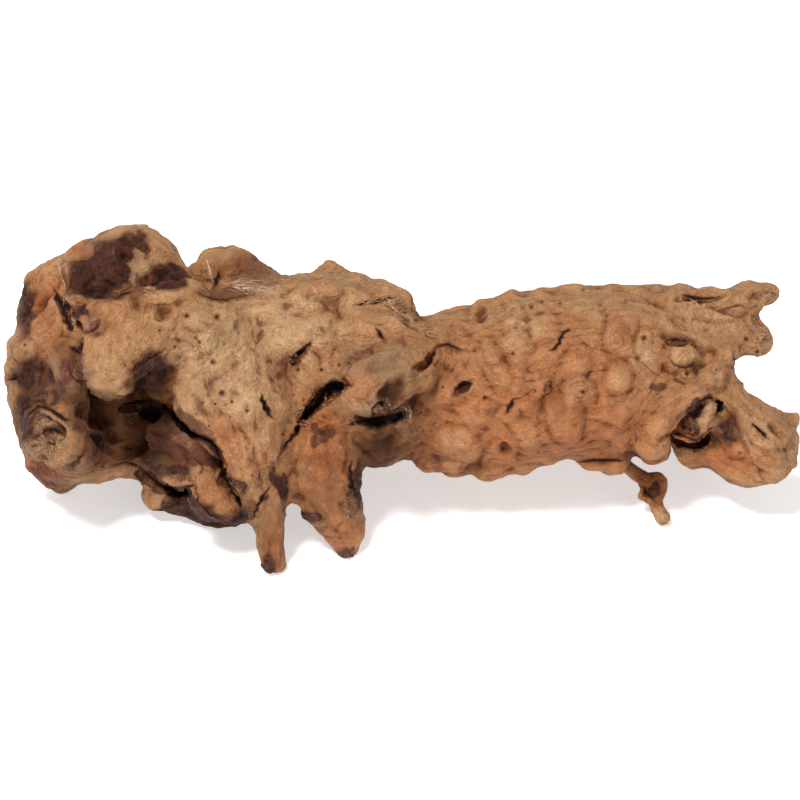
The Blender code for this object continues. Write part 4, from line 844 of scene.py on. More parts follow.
def patch_value(across, up, table):
    """The largest of the soft ellipses: strength x (1.5 - span) from 0 to 1, so 0.5 on the rim."""
    value = np.zeros(len(across))
    for *ellipse, strength in table:
        value = np.maximum(value, strength * np.clip(1.5 - span_from(across, up, ellipse), 0, 1))
    return value


def grain_frames():
    """Stations of all limbs: centre, radius, direction along, towards the eye, sideways, length."""
    rows = []
    for stations in {**TRUNK, **HEAD, **FAR_SIDE}.values():
        line = world_line(spline_through(stations, 4))
        centre = line[:, :3]
        tangent = unit(np.gradient(centre, axis=0))
        tangent *= np.sign((tangent @ np.array([1.0, -0.25, -0.35])).mean())
        facing = unit(TOWARDS_EYE + np.array([0.05, 0, 0.1]) - tangent * (tangent @ TOWARDS_EYE)[:, None])
        side = np.cross(tangent, facing)
        length = (tangent * centre).sum(1)
        rows.append(np.column_stack([centre, line[:, 3], tangent, facing, side, length]))
    return np.vstack(rows)


def grain_at(points, along_scale=0.13):
    """Grain coordinates and the distance outside the bare limbs, for points in millimetres.

    For a limb station with frame (along, facing, side): (facing.q, side.q, 0.13 along.q), q = p - centre,
    blended over the stations by exp(-(distance - radius) / 3), so noise in them runs in streaks.
    """
    table = grain_frames()
    centre, radius = table[:, :3], table[:, 3]
    along, facing, side = table[:, 4:7], table[:, 7:10], table[:, 10:13]
    parts = []
    for axis, scale in ((facing, 1.0), (side, 1.0), (along, along_scale)):
        shift = -(axis * centre).sum(1) if scale == 1.0 else np.zeros(len(axis))
        parts.append(np.column_stack([axis * scale, shift]))
    blend = np.column_stack(parts)
    fibre, gap = np.empty((len(points), 3)), np.empty(len(points))
    for first in range(0, len(points), BLOCK):
        some = points[first:first + BLOCK]
        square = (some**2).sum(1)[:, None] + (centre**2).sum(1) - 2 * some @ centre.T
        outside = np.sqrt(np.maximum(square, 0)) - radius
        least = outside.min(1)
        weight = np.exp(-(outside - least[:, None]) / 3)
        weight /= weight.sum(1, keepdims=True)
        mixed = (weight @ blend).reshape(-1, 3, 4)
        fibre[first:first + BLOCK] = (mixed[:, :, :3] * some[:, None]).sum(2) + mixed[:, :, 3]
        gap[first:first + BLOCK] = least
    return fibre, gap


def ringed_grain(fibre, across, up, front):
    """Turns the grain round each ringed knot: near it the first coordinate becomes radius x span."""
    for centre_across, centre_up, half_width, half_height in RINGED:
        span = span_from(across, up, (centre_across, centre_up, half_width, half_height, 0))
        pull = 0.7 * front * np.exp(-((span / 1.25) ** 3))
        nearest = np.argmin(span + 10 * (1 - front))
        home = fibre[nearest]
        size = 0.5 * (half_width + half_height)
        still = np.ones((len(span), 1))
        rings = np.column_stack([home[0] + size * span, still * home[1], still * home[2]])
        rings += 0.12 * (fibre - home)
        fibre = fibre + pull[:, None] * (rings - fibre)
    return fibre


def neighbour_mean(values, edges, times):
    """Repeats: each vertex takes the mean of its neighbours' values (columns) with its own."""
    count = np.bincount(edges.ravel(), minlength=len(values)) + 1.0
    for _ in range(times):
        total = values.copy()
        for column in range(values.shape[1]):
            total[:, column] += np.bincount(edges[:, 0], values[edges[:, 1], column], len(values))
            total[:, column] += np.bincount(edges[:, 1], values[edges[:, 0], column], len(values))
        values = total / count[:, None]
    return values


def line_field(table, across, up, front, reach):
    """Signed distance to the nearest of the lines, and its half width there (0 beyond reach), in mm.

    A point's foot on a segment is a + t (b - a), t from 0 to 1; the sign says on which side it lies,
    so a line thinner than the mesh still passes through zero between two vertices.
    """
    near, signed, width = np.full(len(across), FAR), np.full(len(across), FAR), np.zeros(len(across))
    across = across + 0.5 * np.sin(up * 1.3 + 2 * np.sin(across * 0.7))
    for line in table.values():
        line = np.array(line)
        low, high = line[:, :2].min(0) - 2 - reach, line[:, :2].max(0) + 2 + reach
        some = np.flatnonzero(
            (across > low[0]) & (across < high[0]) & (up > low[1]) & (up < high[1]) & (front > 0.4)
        )
        for (x, y, start), (x_end, y_end, stop) in zip(line, line[1:]):
            along = np.array([x_end - x, y_end - y])
            length = max(np.hypot(*along), 1e-6)
            dx, dy = across[some] - x, up[some] - y
            t = (dx * along[0] + dy * along[1]) / length**2
            held = np.clip(t, 0, 1)
            away = np.hypot(dx - held * along[0], dy - held * along[1])
            side = np.sign(dx * along[1] - dy * along[0])
            better = away < near[some]
            taken = some[better]
            near[taken] = away[better]
            signed[taken] = (away * side)[better]
            half = start + (stop - start) * held
            width[taken] = (half * (away < half + reach))[better]
    return signed, width


def pit_field(across, up, front):
    """Distance to the nearest pit's middle in pit radii: 1 on its rim, FAR from all others."""
    span = np.full(len(across), FAR)
    for centre_across, centre_up, radius in PITS:
        span = np.minimum(span, np.hypot(across - centre_across, up - centre_up) / radius)
    return np.where(front > 0.4, span, FAR)


def knot_field(points, front, back):
    """How high on a knot each point lies (1 at its top), and how near to the line round a knot's foot."""
    across, up, _ = to_picture(points).T
    across, up = warped(points, across, up)
    top, foot = np.zeros(len(points)), np.zeros(len(points))
    for table, seen in ((KNOTS, front), (back_knots(), back)):
        for knot in table:
            if knot[5] > 0:
                span = span_from(across, up, knot[:5])
                top = np.maximum(top, seen * np.clip(1 - span**2 / 1.3, 0, 1))
                foot = np.maximum(foot, seen * np.exp(-(((span - 1.28) / 0.22) ** 2)))
    return top, foot * (1 - top)


def warped(points, across, up):
    """Picture place shifted by up to a millimetre of smooth noise, so that no knot is a clean ellipse."""
    shift_across = 1.0 * lattice_noise(points / 5.5 + 1.7, 41)
    shift_up = 1.0 * lattice_noise(points / 5.5 + 8.1, 42)
    return across + shift_across, up + shift_up


def surface_marks(points, normals):
    """Masks and grain of the surface at points in mm: arrays by name, one value for each point."""
    across, up, _ = to_picture(points).T
    toward = normals @ TOWARDS_EYE
    front = np.clip(toward * 4 + 0.6, 0, 1)
    back = 1 - front
    fibre, gap = grain_at(points)
    wide = lattice_noise(points / 24 + 3.7, 21)
    middle = lattice_noise(points / 9 + 1.2, 22)
    small = lattice_noise(points / 3.6 + 5.1, 23)
    ragged = 0.16 * middle + 0.12 * small
    across = across + 3.0 * lattice_noise(points / 7 + 2.9, 24)
    across = across + 1.4 * lattice_noise(points / 2.6 + 4.2, 25)
    up = up + 3.0 * lattice_noise(points / 7 + 9.4, 26) + 1.4 * lattice_noise(points / 2.6 + 6.3, 27)
    bark = patch_value(across, up, BARK_AND_PAINTED_SHADOW) * front
    bark -= patch_value(across, up, BARE) * front
    far_bark = np.clip(0.55 + 0.9 * wide + 0.4 * middle - 0.42, 0, 1)
    head_side = np.clip((-across - 40) / 60, 0, 1)
    bark = bark + back * far_bark * (0.35 + 0.65 * head_side) + ragged * (bark > 0.05)
    marks = {
        "bark": np.clip(bark, 0, 1),
        "pale": patch_value(across, up, PALE) * front,
        "warm": patch_value(across, up, WARM) * front + back * np.clip(0.3 + 0.8 * wide, 0, 1),
        "fresh": patch_value(across, up, FRESH) * front,
        "grey": patch_value(across, up, GREY) * front,
        # patches of painted shade
        "dim": patch_value(across, up, PAINTED_SHADE) * front,
        "plum": (patch_value(across, up, PLUM) - patch_value(across, up, BARE)) * front
        + back * head_side * far_bark * 0.6,
        "brown": patch_value(across, up, BROWN_STAIN_AND_SHADE) * front + back * np.clip(middle - 0.2, 0, 0.7),
    }
    across, up, _ = to_picture(points).T
    marks["split"], marks["width"] = line_field(CRACKS, across, up, front, 1.7)
    fold, fold_width = line_field(CREASES, across, up, front, 4.0)
    marks["fold"] = fold_width * np.exp(-((fold / np.maximum(fold_width, 0.1)) ** 2))
    marks["pit"] = pit_field(across, up, front)
    marks["knob"], marks["foot"] = knot_field(points, front, back)
    ring = np.full(len(points), FAR)
    for centre_across, centre_up, half_width, half_height in RINGED:
        span = span_from(across, up, (centre_across, centre_up, half_width, half_height, 0))
        ring = np.where((span < ring) & (front > 0.5), span, ring)
    marks["ring"] = ring
    marks["fibre"] = ringed_grain(fibre, across, up, front)
    marks["gap"] = gap
    return marks


def cut_depth(points, cuts):
    """How far inside a hollow or groove each point lies: the most of radius + 1 - distance, in mm."""
    rows = np.vstack([world_line(spline_through(stations, 4)) for stations in cuts.values()])
    inside = np.empty(len(points))
    for first in range(0, len(points), BLOCK):
        some = points[first:first + BLOCK]
        square = (some**2).sum(1)[:, None] + (rows[:, :3] ** 2).sum(1) - 2 * some @ rows[:, :3].T
        inside[first:first + BLOCK] = (rows[:, 3] + 1 - np.sqrt(np.maximum(square, 0))).max(1)
    return inside


def relief(points, normals, marks, gain):
    """How far each point of the skin is raised, in mm.

    Lumps and knots come first, then wrinkles and fine noise times the gain, rougher on knots, bark
    and broken wood. Splits go down by exp(-(distance / (half width + 0.35))^2) of their depth, and
    so do pits and folds.
    """
    across, up, _ = to_picture(points).T
    toward_eye = normals @ TOWARDS_EYE
    front = np.clip(toward_eye * 4, 0, 1)
    back = np.clip(-toward_eye * 4, 0, 1)
    rise = np.zeros(len(points))
    for number, (wavelength, height) in enumerate(LUMPS):
        rise += height * lattice_noise(points / wavelength + 7.3 * number, number)
    across, up = warped(points, across, up)
    for knot in KNOTS:
        rise += front * knot_rise(across, up, knot)
    for knot in back_knots():
        rise += back * knot_rise(across, up, knot)
    fibre = marks["fibre"]
    wrinkle = lattice_noise(fibre / np.array([4.2, 4.2, 1.6]), 31)
    fine = lattice_noise(fibre / np.array([1.9, 1.9, 1.0]), 32)
    rise += gain * (-0.75 * (1 - np.abs(wrinkle)) ** 5 + 0.26 * fine)
    rise += gain * 0.34 * lattice_noise(points / 3.4 + 2.2, 33)
    rise += gain * 0.5 * lattice_noise(points / 6.0 + 6.6, 38)
    rise += gain * marks["knob"] * (0.7 * lattice_noise(points / 3.2 + 3.3, 39) - 0.5 * np.abs(wrinkle))
    bark = np.clip((marks["bark"] - 0.45) * 8, 0, 1)
    flakes = lattice_noise(points / 5 + 4.4, 34)
    rise += gain * bark * (0.5 + 0.7 * flakes + 0.45 * lattice_noise(points / 2.2, 35))
    fresh = marks["fresh"]
    rise += gain * fresh * (1.7 * lattice_noise(points / 5.5, 36) + 1.3 * lattice_noise(points / 2.6, 37))
    width = marks["width"]
    split = np.exp(-((np.abs(marks["split"]) / (width + 0.35)) ** 2))
    rise -= gain * np.clip(1.7 * width - 0.1, 0, 1.9) * split
    rise -= gain * 0.7 * np.exp(-((marks["pit"] / 1.1) ** 2))
    rise -= 0.6 * marks["fold"]
    ring = marks["ring"]
    rise += gain * 0.2 * np.cos((ring + 0.1 * fine) * 2 * np.pi * 2.2) * np.exp(-((ring / 1.1) ** 4))
    return rise


def skin_out(tree, across, up, missing):
    """How far out the skin lies at a place of the picture, or the given value where a look misses it."""
    near, far = to_world(np.array([[across, up, LOOK_DEPTH], [across, up, -LOOK_DEPTH]]))
    hit = tree.ray_cast(near * MM, (far - near).tolist())[0]
    return to_picture(np.array([hit]) / MM)[0, 2] if hit is not None else missing


def sunk_stations(stations, tree, draw):
    """Groove stations with the skin's distance found by a look from the front in place of their depth.

    A slim groove is made ragged by a seeded draw, and its radius tapers by (0.35 + 0.65 sin(pi t))^0.7.
    """
    found = []
    line = spline_through(stations, 7)
    taper = (0.35 + 0.65 * np.sin(np.linspace(0, math.pi, len(line)))) ** 0.7
    slim = np.clip((2.8 - line[:, 3]) / 0.8, 0, 1)
    line[:, :2] += draw.normal(0, 0.12, (len(line), 2)) * line[:, 3:]
    line[:, 3] *= 1 - slim * (1 - taper * draw.uniform(0.6, 0.95, len(line)))
    line[:, 2] = np.minimum(line[:, 2], line[:, 3] * (1 - 0.35 * slim))
    for across, up, sunk, radius in line:
        out = skin_out(tree, across, up, 0.0)
        found.append((across, up, out - sunk, radius))
    return found


def main_body(points, edges):
    """True for the vertices joined to the highest one.

    Each vertex takes the least label of its neighbours, over and over, until all that are joined agree.
    """
    label = np.arange(len(points))
    while True:
        least = label.copy()
        np.minimum.at(least, edges[:, 0], label[edges[:, 1]])
        np.minimum.at(least, edges[:, 1], label[edges[:, 0]])
        least = least[least]
        if (least == label).all():
            break
        label = least
    return label == label[np.argmax(points[:, 2])]


def edge_array(mesh):
    """The mesh's edges as pairs of vertex numbers."""
    edges = np.empty(len(mesh.edges) * 2, np.int32)
    mesh.edges.foreach_get("vertices", edges)
    return edges.reshape(-1, 2)


def cut_level(obj):
    """Cuts the stubs off level with the ground, where they stand on it, and drops loose crumbs."""
    mesh = obj.data
    keep = main_body(vertex_array(mesh), edge_array(mesh))
    bm = bmesh.new()
    bm.from_mesh(mesh)
    bm.verts.ensure_lookup_table()
    bmesh.ops.delete(bm, geom=[bm.verts[i] for i in np.flatnonzero(~keep)], context="VERTS")
    everything = bm.verts[:] + bm.edges[:] + bm.faces[:]
    cut = bmesh.ops.bisect_plane(
        bm, geom=everything, dist=0.01 * MM, plane_co=(0, 0, 0), plane_no=(0, 0, -1), clear_outer=True
    )
    edges = [e for e in cut["geom_cut"] if isinstance(e, bmesh.types.BMEdge)]
    bmesh.ops.holes_fill(bm, edges=edges)
    bmesh.ops.triangulate(bm, faces=bm.faces)
    bm.to_mesh(mesh)
    bm.free()


def set_points(mesh, points):
    """Writes positions in metres back into the mesh."""
    mesh.vertices.foreach_set("co", points.astype(np.float32).ravel())
    mesh.update()


def grow_skin(sizes):
    """The root's fine skin: tubes fused and taken back, hollows cut, relief raised, cut level."""
    limbs = {**TRUNK, **HEAD, **FAR_SIDE}
    tubes = [limb_tube(stations, sizes.fillet) for stations in limbs.values()]
    tubes += [limb_tube(wart_stations(wart), sizes.fillet) for wart in WARTS]
    root = mesh_object("weathered_root", tubes)
    add_modifier(root, "REMESH", mode="VOXEL", voxel_size=sizes.first_voxel * MM)
    add_modifier(root, "DISPLACE", strength=-sizes.take_back * MM, mid_level=0)
    add_modifier(root, "SMOOTH", factor=0.5, iterations=5)
    apply_modifiers(root)
    tree = BVHTree.FromObject(root, bpy.context.evaluated_depsgraph_get())
    draw = np.random.default_rng(SLIT_SEED)
    grooves = {key: sunk_stations(stations, tree, draw) for key, stations in GROOVES.items()}
    cuts = {**HOLLOWS, **grooves}
    hollows = mesh_object("hollows", [limb_tube(stations) for stations in cuts.values()])
    add_modifier(hollows, "REMESH", mode="VOXEL", voxel_size=sizes.cut_voxel * MM)
    apply_modifiers(hollows)
    add_modifier(root, "BOOLEAN", operation="DIFFERENCE", solver="MANIFOLD", object=hollows)
    apply_modifiers(root)
    late = mesh_object("late", [limb_tube(stations) for stations in LATE_LIMBS.values()])
    both = bmesh.new()
    both.from_mesh(root.data)
    both.from_mesh(late.data)
    both.to_mesh(root.data)
    both.free()
    bpy.data.objects.remove(late)
    add_modifier(root, "REMESH", mode="VOXEL", voxel_size=sizes.fine_voxel * MM)
    add_modifier(root, "SMOOTH", factor=0.5, iterations=3)
    apply_modifiers(root)
    bpy.data.objects.remove(hollows)
    mesh = root.data
    points, normals = vertex_array(mesh) / MM, vertex_array(mesh, "normal")
    marks = surface_marks(points, normals)
    points += normals * relief(points, normals, marks, sizes.relief_gain)[:, None]
    set_points(mesh, points * MM)
    mesh.calc_loop_triangles()
    ratio = min(1.0, sizes.triangles / len(mesh.loop_triangles))
    add_modifier(root, "DECIMATE", ratio=ratio, use_collapse_triangulate=True)
    apply_modifiers(root)
    cut_level(root)
    low, high = (np.array(corner) for corner in CAD_BOX)
    set_points(root.data, np.clip(vertex_array(root.data), low, high))
    return root, cuts


MARKS = (
    "bark", "pale", "warm", "fresh", "grey", "dim", "plum", "brown", "ring", "split", "width", "pit",
    "knob", "foot", "fold", "crease", "valley", "hollow", "under",
)


def write_marks(root, cuts):
    """Writes the surface's marks into the mesh as attributes for the material to read."""
    mesh = root.data
    points, normals = vertex_array(mesh) / MM, vertex_array(mesh, "normal")
    edges = edge_array(mesh)
    marks = surface_marks(points, normals)
    near = neighbour_mean(points, edges, 4)
    broad = neighbour_mean(near, edges, 50)
    # Concave creases and valleys, the insides of hollows and downward faces: the material darkens them as
    # painted shade
    marks["crease"] = ((near - points) * normals).sum(1)
    marks["valley"] = ((broad - points) * normals).sum(1)
    inside = cut_depth(points, cuts)
    marks["hollow"] = np.clip((inside - 0.2) / 1.2, 0, 1) * np.clip((-marks["gap"] + 0.5) / 3.5, 0, 1)
    marks["valley"] += 1.2 * np.clip(marks["gap"] - 0.9, 0, 3)
    marks["under"] = np.clip(-neighbour_mean(normals, edges, 12)[:, 2], 0, 1)
    for name in MARKS:
        layer = mesh.attributes.new(name, "FLOAT", "POINT")
        layer.data.foreach_set("value", marks[name].astype(np.float32))
    layer = mesh.attributes.new("fibre", "FLOAT_VECTOR", "POINT")
    layer.data.foreach_set("vector", marks["fibre"].astype(np.float32).ravel())


def linear(red, green, blue):
    """A colour given as 0 to 255 on screen, as linear values with alpha."""
    values = [c / 255 for c in (red, green, blue)]
    return tuple(v / 12.92 if v <= 0.04045 else ((v + 0.055) / 1.055) ** 2.4 for v in values) + (1.0,)


class Field:
    """A socket's value in an expression: each operator adds one Math node."""

    def __init__(self, nodes, socket):
        self.nodes, self.socket = nodes, socket

    def math(self, operation, *others):
        """A Math node of this value and the others."""
        return self.nodes.add("ShaderNodeMath", {"operation": operation}, [self, *others])

    def __add__(self, other):
        return self.math("ADD", other)

    __radd__ = __add__

    def __sub__(self, other):
        return self.math("SUBTRACT", other)

    def __rsub__(self, other):
        return self.nodes.add("ShaderNodeMath", {"operation": "SUBTRACT"}, [other, self])

    def __mul__(self, other):
        return self.math("MULTIPLY", other)

    __rmul__ = __mul__


class Nodes:
    """The node tree of one material."""

    def __init__(self, name):
        self.material = bpy.data.materials.new(name)
        self.material.use_nodes = True
        self.tree = self.material.node_tree
        self.shader = self.tree.nodes["Principled BSDF"]

    def add(self, kind, settings=None, inputs=(), output=0):
        """Make a node: settings, then values or links of its inputs; returns one of its outputs."""
        node = self.tree.nodes.new(kind)
        for key, value in (settings or {}).items():
            setattr(node, key, value)
        pairs = inputs.items() if isinstance(inputs, dict) else enumerate(inputs)
        for key, value in pairs:
            self.give(node.inputs[key], value)
        return Field(self, node.outputs[output])

    def give(self, socket, value):
        """Links a field to the socket or sets its value."""
        if isinstance(value, Field):
            self.tree.links.new(value.socket, socket)
        else:
            socket.default_value = value

    def mark(self, name, vector=False):
        """One of the mesh's attributes."""
        output = "Vector" if vector else "Fac"
        return self.add("ShaderNodeAttribute", {"attribute_name": name}, (), output)

    def scaled(self, vector, *scale):
        """A vector multiplied by three numbers."""
        return self.add("ShaderNodeVectorMath", {"operation": "MULTIPLY"}, [vector, scale])

    def noise(self, vector, scale, detail=3.0, rough=0.5, warp=0.0):
        """Noise from about -1 to 1."""
        inputs = {
            "Vector": vector, "Scale": scale, "Detail": detail, "Roughness": rough, "Distortion": warp,
        }
        return (self.add("ShaderNodeTexNoise", {}, inputs, "Fac") - 0.5) * 2.6

    def cells(self, vector, scale, feature="F1"):
        """Distance to the nearest cell point, or to the cells' edge."""
        inputs = {"Vector": vector, "Scale": scale}
        return self.add("ShaderNodeTexVoronoi", {"feature": feature}, inputs, "Distance")

    def smooth(self, value, low, high):
        """0 below low, 1 above high, 3t^2 - 2t^3 between; high may be the smaller."""
        if low > high:
            return 1 - self.smooth(value, high, low)
        settings = {"interpolation_type": "SMOOTHSTEP"}
        return self.add("ShaderNodeMapRange", settings, [value, low, high, 0.0, 1.0])

    def size(self, value):
        """The value without its sign."""
        return self.add("ShaderNodeMath", {"operation": "ABSOLUTE"}, [value])

    def clip(self, value):
        """The value kept between 0 and 1."""
        return self.add("ShaderNodeClamp", {}, [value, 0.0, 1.0])

    def mix(self, factor, first, second):
        """Two colours mixed."""
        settings = {"data_type": "RGBA", "clamp_factor": True}
        return self.add("ShaderNodeMix", settings, {0: factor, 6: first, 7: second}, 2)

    def shade(self, colour, value):
        """A colour made lighter or darker: multiplied by the value."""
        return self.add("ShaderNodeVectorMath", {"operation": "SCALE"}, {0: colour, "Scale": value})


def wood_material(colours):
    """Dry root wood: streaks along the grain, ringed knots, painted shade in creases, valleys, hollows
    and undersides, bark and broken ends.
    """
    n = Nodes("dry_root_wood")
    place = n.scaled(n.add("ShaderNodeTexCoord", {}, (), "Object"), 1000.0, 1000.0, 1000.0)
    fibre = n.mark("fibre", True)
    mark = {name: n.mark(name) for name in MARKS}
    names = ("tan", "orange", "pale", "salmon", "red_brown", "brown", "plum", "grey")
    tan, orange, pale, salmon, red_brown, brown, plum, grey = (tuple(getattr(colours, c)) for c in names)
    crease, valley, hollow, ring = (mark[name] for name in ("crease", "valley", "hollow", "ring"))

    # Noise of several sizes, over the surface and along the grain
    wide = n.noise(place, 0.035, 2.0)
    middle = n.noise(place, 0.11, 4.0, 0.6)
    blotch = n.noise(place, 0.26, 5.0, 0.65, 0.5)
    small = n.noise(place, 0.62, 5.0, 0.65)
    tiny = n.noise(place, 1.9, 3.0, 0.6)
    streak = n.noise(fibre, 0.30, 5.0, 0.62)
    hair = n.noise(fibre, 1.4, 3.0, 0.6)
    wave = ring * 11.0 + middle * 3.0 + blotch * 1.4
    ring_line = n.add("ShaderNodeMath", {"operation": "SINE"}, [wave])
    ring_zone = n.smooth(ring + small * 0.15, 1.2, 0.6)
    seam = n.smooth(n.size(streak + small * 0.12), 0.10, 0.0) * n.smooth(middle, -0.2, 0.8)

    # Bare wood: its tints, then streaks, painted shade in valleys and patches, stains, broken wood and
    # skin
    heat = n.clip(mark["warm"] * 0.7 + 0.16 + wide * 0.22 + middle * 0.2 + valley * 0.06)
    wood = n.mix(heat, tan, orange)
    wood = n.mix(n.smooth(blotch, 0.1, 1.1) * 0.5, wood, salmon)
    wood = n.mix(n.clip(mark["pale"] * 0.7 + mark["knob"] * 0.25 + small * 0.16 - 0.12), wood, pale)
    wood = n.mix(n.smooth(-1 * blotch, 0.3, 1.3) * 0.4, wood, pale)
    wood = n.mix(n.smooth(streak, 0.25, 1.2) * 0.42, wood, red_brown)
    wood = n.mix(n.smooth(-1 * streak, 0.3, 1.2) * 0.35, wood, pale)
    # Painted shade: valleys between the forms and the painted-shade patches go red brown
    wood = n.mix(n.smooth(valley + small * 0.5 + middle * 0.6, 0.8, 3.8) * 0.6, wood, red_brown)
    wood = n.mix(mark["dim"] * 0.3, wood, red_brown)
    wood = n.mix(n.clip(mark["foot"] * (0.1 + blotch * 0.5)), wood, red_brown)
    wood = n.mix(seam * 0.55, wood, red_brown)
    wood = n.mix(n.clip(mark["fold"] * (0.14 + blotch * 0.3)), wood, red_brown)
    wood = n.mix(ring_zone * n.smooth(ring_line, 0.2, 1.0) * 0.25, wood, red_brown)
    wood = n.mix(n.smooth(mark["brown"] + small * 0.16 + blotch * 0.1, 0.3, 0.85) * 0.8, wood, brown)
    wood = n.mix(n.clip(mark["grey"] * 0.55 + small * mark["grey"] * 0.35), wood, grey)
    chips = n.noise(place, 0.7, 5.0, 0.7)
    broken = n.mix(n.smooth(chips, -0.7, 0.5), tuple(colours.bark_light), tuple(colours.splinter))
    bent = n.add("ShaderNodeVectorMath", {"operation": "ADD"}, [place, n.scaled(fibre, 0.25, 0.25, 0.25)])
    flaw = n.smooth(n.cells(bent, 0.24, "DISTANCE_TO_EDGE") + small * 0.03, 0.07, 0.01)
    broken = n.mix(flaw * 0.8, broken, red_brown)
    wood = n.mix(n.smooth(mark["fresh"] + small * 0.2, 0.35, 0.65) * 0.7, wood, broken)
    skin = n.mix(n.smooth(blotch, -0.1, 1.2) * 0.7, plum, brown)
    skin = n.mix(n.smooth(small - crease, 0.3, 1.1) * 0.6, skin, grey)
    wood = n.mix(n.smooth(mark["plum"] + small * 0.14 + blotch * 0.08, 0.42, 0.56) * 0.85, wood, skin)

    # Bark, in flakes
    bark_edge = mark["bark"] + small * 0.14 + tiny * 0.06 + blotch * 0.12
    wood = n.mix(n.smooth(bark_edge, 0.15, 0.5) * 0.75, wood, brown)
    bark_zone = n.smooth(bark_edge, 0.44, 0.6)
    flake = n.noise(place, 0.28, 5.0, 0.65)
    bark = n.mix(n.smooth(flake, -0.6, 0.9), tuple(colours.bark), tuple(colours.bark_light))
    bark = n.mix(n.smooth(n.noise(place, 0.16, 3.0, 0.6), 0.1, 0.9) * 0.6, bark, plum)
    bark = n.mix(n.smooth(n.noise(place, 0.9, 4.0, 0.7) - crease * 0.8, 0.2, 1.0) * 0.45, bark, grey)
    bark = n.mix(n.smooth(blotch - middle * 0.4, 0.35, 1.1) * 0.75, bark, brown)
    # Painted shade: bark goes darker and bare wood red brown in concave creases
    bark = n.mix(n.smooth(tiny + crease * 2, 0.2, 1.2) * 0.7, bark, tuple(colours.dark))
    wood = n.mix(n.smooth(crease + small * 0.1, 0.08, 0.6) * 0.4, wood, red_brown)
    wrinkle = n.smooth(n.size(n.noise(bent, 0.3, 4.0, 0.65)), 0.16, 0.0) * n.smooth(middle, -0.9, 0.5)
    wood = n.mix(wrinkle * 0.3, wood, red_brown)
    colour = n.mix(bark_zone, wood, bark)

    # Pores, painted light and shade, splits, pits and painted shade in the hollows
    grit = n.smooth(tiny, -1.0, 1.0) * 0.1
    pores = n.smooth(n.cells(n.scaled(fibre, 1.0, 1.0, 3.0), 0.42) + grit, 0.13, 0.06)
    pores = pores * n.smooth(middle, -0.6, 0.6)
    value = 1.0 + small * 0.17 + tiny * 0.16 + hair * 0.16 + streak * 0.08 + middle * 0.06 + blotch * 0.12
    # Painted shade: darker in creases, valleys, on undersides and in the painted-shade patches; paler on
    # ridges
    value = value - n.smooth(crease, 0.08, 0.7) * 0.32 + n.smooth(-1 * crease, 0.03, 0.5) * 0.2
    value = value - n.smooth(valley, 1.0, 5.5) * 0.42 - n.smooth(mark["under"], 0.1, 0.8) * 0.3
    value = value - mark["dim"] * 0.4
    colour = n.shade(colour, n.add("ShaderNodeMath", {"operation": "MAXIMUM"}, [value, 0.2]))
    away = n.size(mark["split"]) + small * 0.12 + tiny * 0.06
    inside = n.smooth(away - mark["width"] * 0.85, 0.10, -0.10) * n.smooth(mark["width"], 0.0, 0.7)
    halo = n.smooth(away - mark["width"], 1.3, 0.0) * n.smooth(mark["width"], 0.1, 0.6)
    pit = n.smooth(mark["pit"] + small * 0.15, 1.0, 0.5)
    pit_halo = n.smooth(mark["pit"] + small * 0.2, 2.0, 0.9)
    colour = n.mix(n.clip(halo * 0.55 + pit_halo * 0.6), colour, red_brown)
    # Painted shade: the insides of hollows go nearly black; pores, splits and pits are darkened too
    dark = n.clip(n.smooth(hollow, 0.05, 0.75) * 0.93 + pores * 0.5 + inside * 0.92 + pit * 0.8)
    colour = n.mix(dark, colour, tuple(colours.dark))

    n.give(n.shader.inputs["Base Color"], colour)
    rough = 0.62 + small * 0.08 + bark_zone * 0.02 + hollow * 0.2 + hair * 0.05
    n.give(n.shader.inputs["Roughness"], n.clip(rough))
    n.shader.inputs["Specular IOR Level"].default_value = WOOD_SHINE
    height = hair * 0.36 + tiny * 0.28 + small * 0.62 + streak * 0.32 - wrinkle * 0.2
    height = height - pores * 0.6 - inside * 0.8 - pit * 0.6 + blotch * 0.5
    height = height - seam * 0.3 + ring_zone * ring_line * -0.08
    height = height + bark_zone * (flake * 0.4 + tiny * 0.25 + 0.35)
    height = height + mark["fresh"] * chips * 0.4
    inputs = {"Strength": 0.9, "Distance": BUMP_HEIGHT, "Height": height}
    n.give(n.shader.inputs["Normal"], n.add("ShaderNodeBump", {}, inputs, "Normal"))
    return n.material


def splinter_tubes(tree):
    """Thin tapered tubes laid on the skin, each a run of looks from the front, with its bleaching.

    A splinter's point at s from 0 to 1 is start + run x s, out = skin + lift x s, radius x (1 - s)^0.6.
    """
    draw = np.random.default_rng(BUNDLE_SEED)
    tubes, bleach = [], []
    s = np.linspace(0, 1, 7)
    for start, stop, run, number, radius, lift, bleached in BUNDLES:
        for _ in range(number):
            foot = np.array(start) + draw.random() * (np.array(stop) - start) + draw.normal(0, 0.7, 2)
            turn = draw.normal(0, 0.22)
            sine, cosine = math.sin(turn), math.cos(turn)
            turned = np.array([run[0] * cosine - run[1] * sine, run[0] * sine + run[1] * cosine])
            turned = turned * draw.uniform(0.5, 1.3)
            bend = draw.normal(0, 0.12) * np.sin(np.pi * s)[:, None] * np.array([-turned[1], turned[0]])
            path = foot + s[:, None] * turned + bend
            out = np.array([skin_out(tree, across, up, np.nan) for across, up in path])
            if np.isnan(out).any() or np.ptp(out) > 12:
                continue
            out = np.convolve(np.pad(out, 1, "edge"), [0.25, 0.5, 0.25], "valid") + lift * s
            thick = radius * draw.uniform(0.6, 1.2) * np.maximum(1 - s, 0.04) ** 0.6
            tubes.append(tube(world_line(np.column_stack([path, out, thick])), 6))
            bleach.append(np.full(len(tubes[-1][0]), bleached))
    return tubes, np.concatenate(bleach)


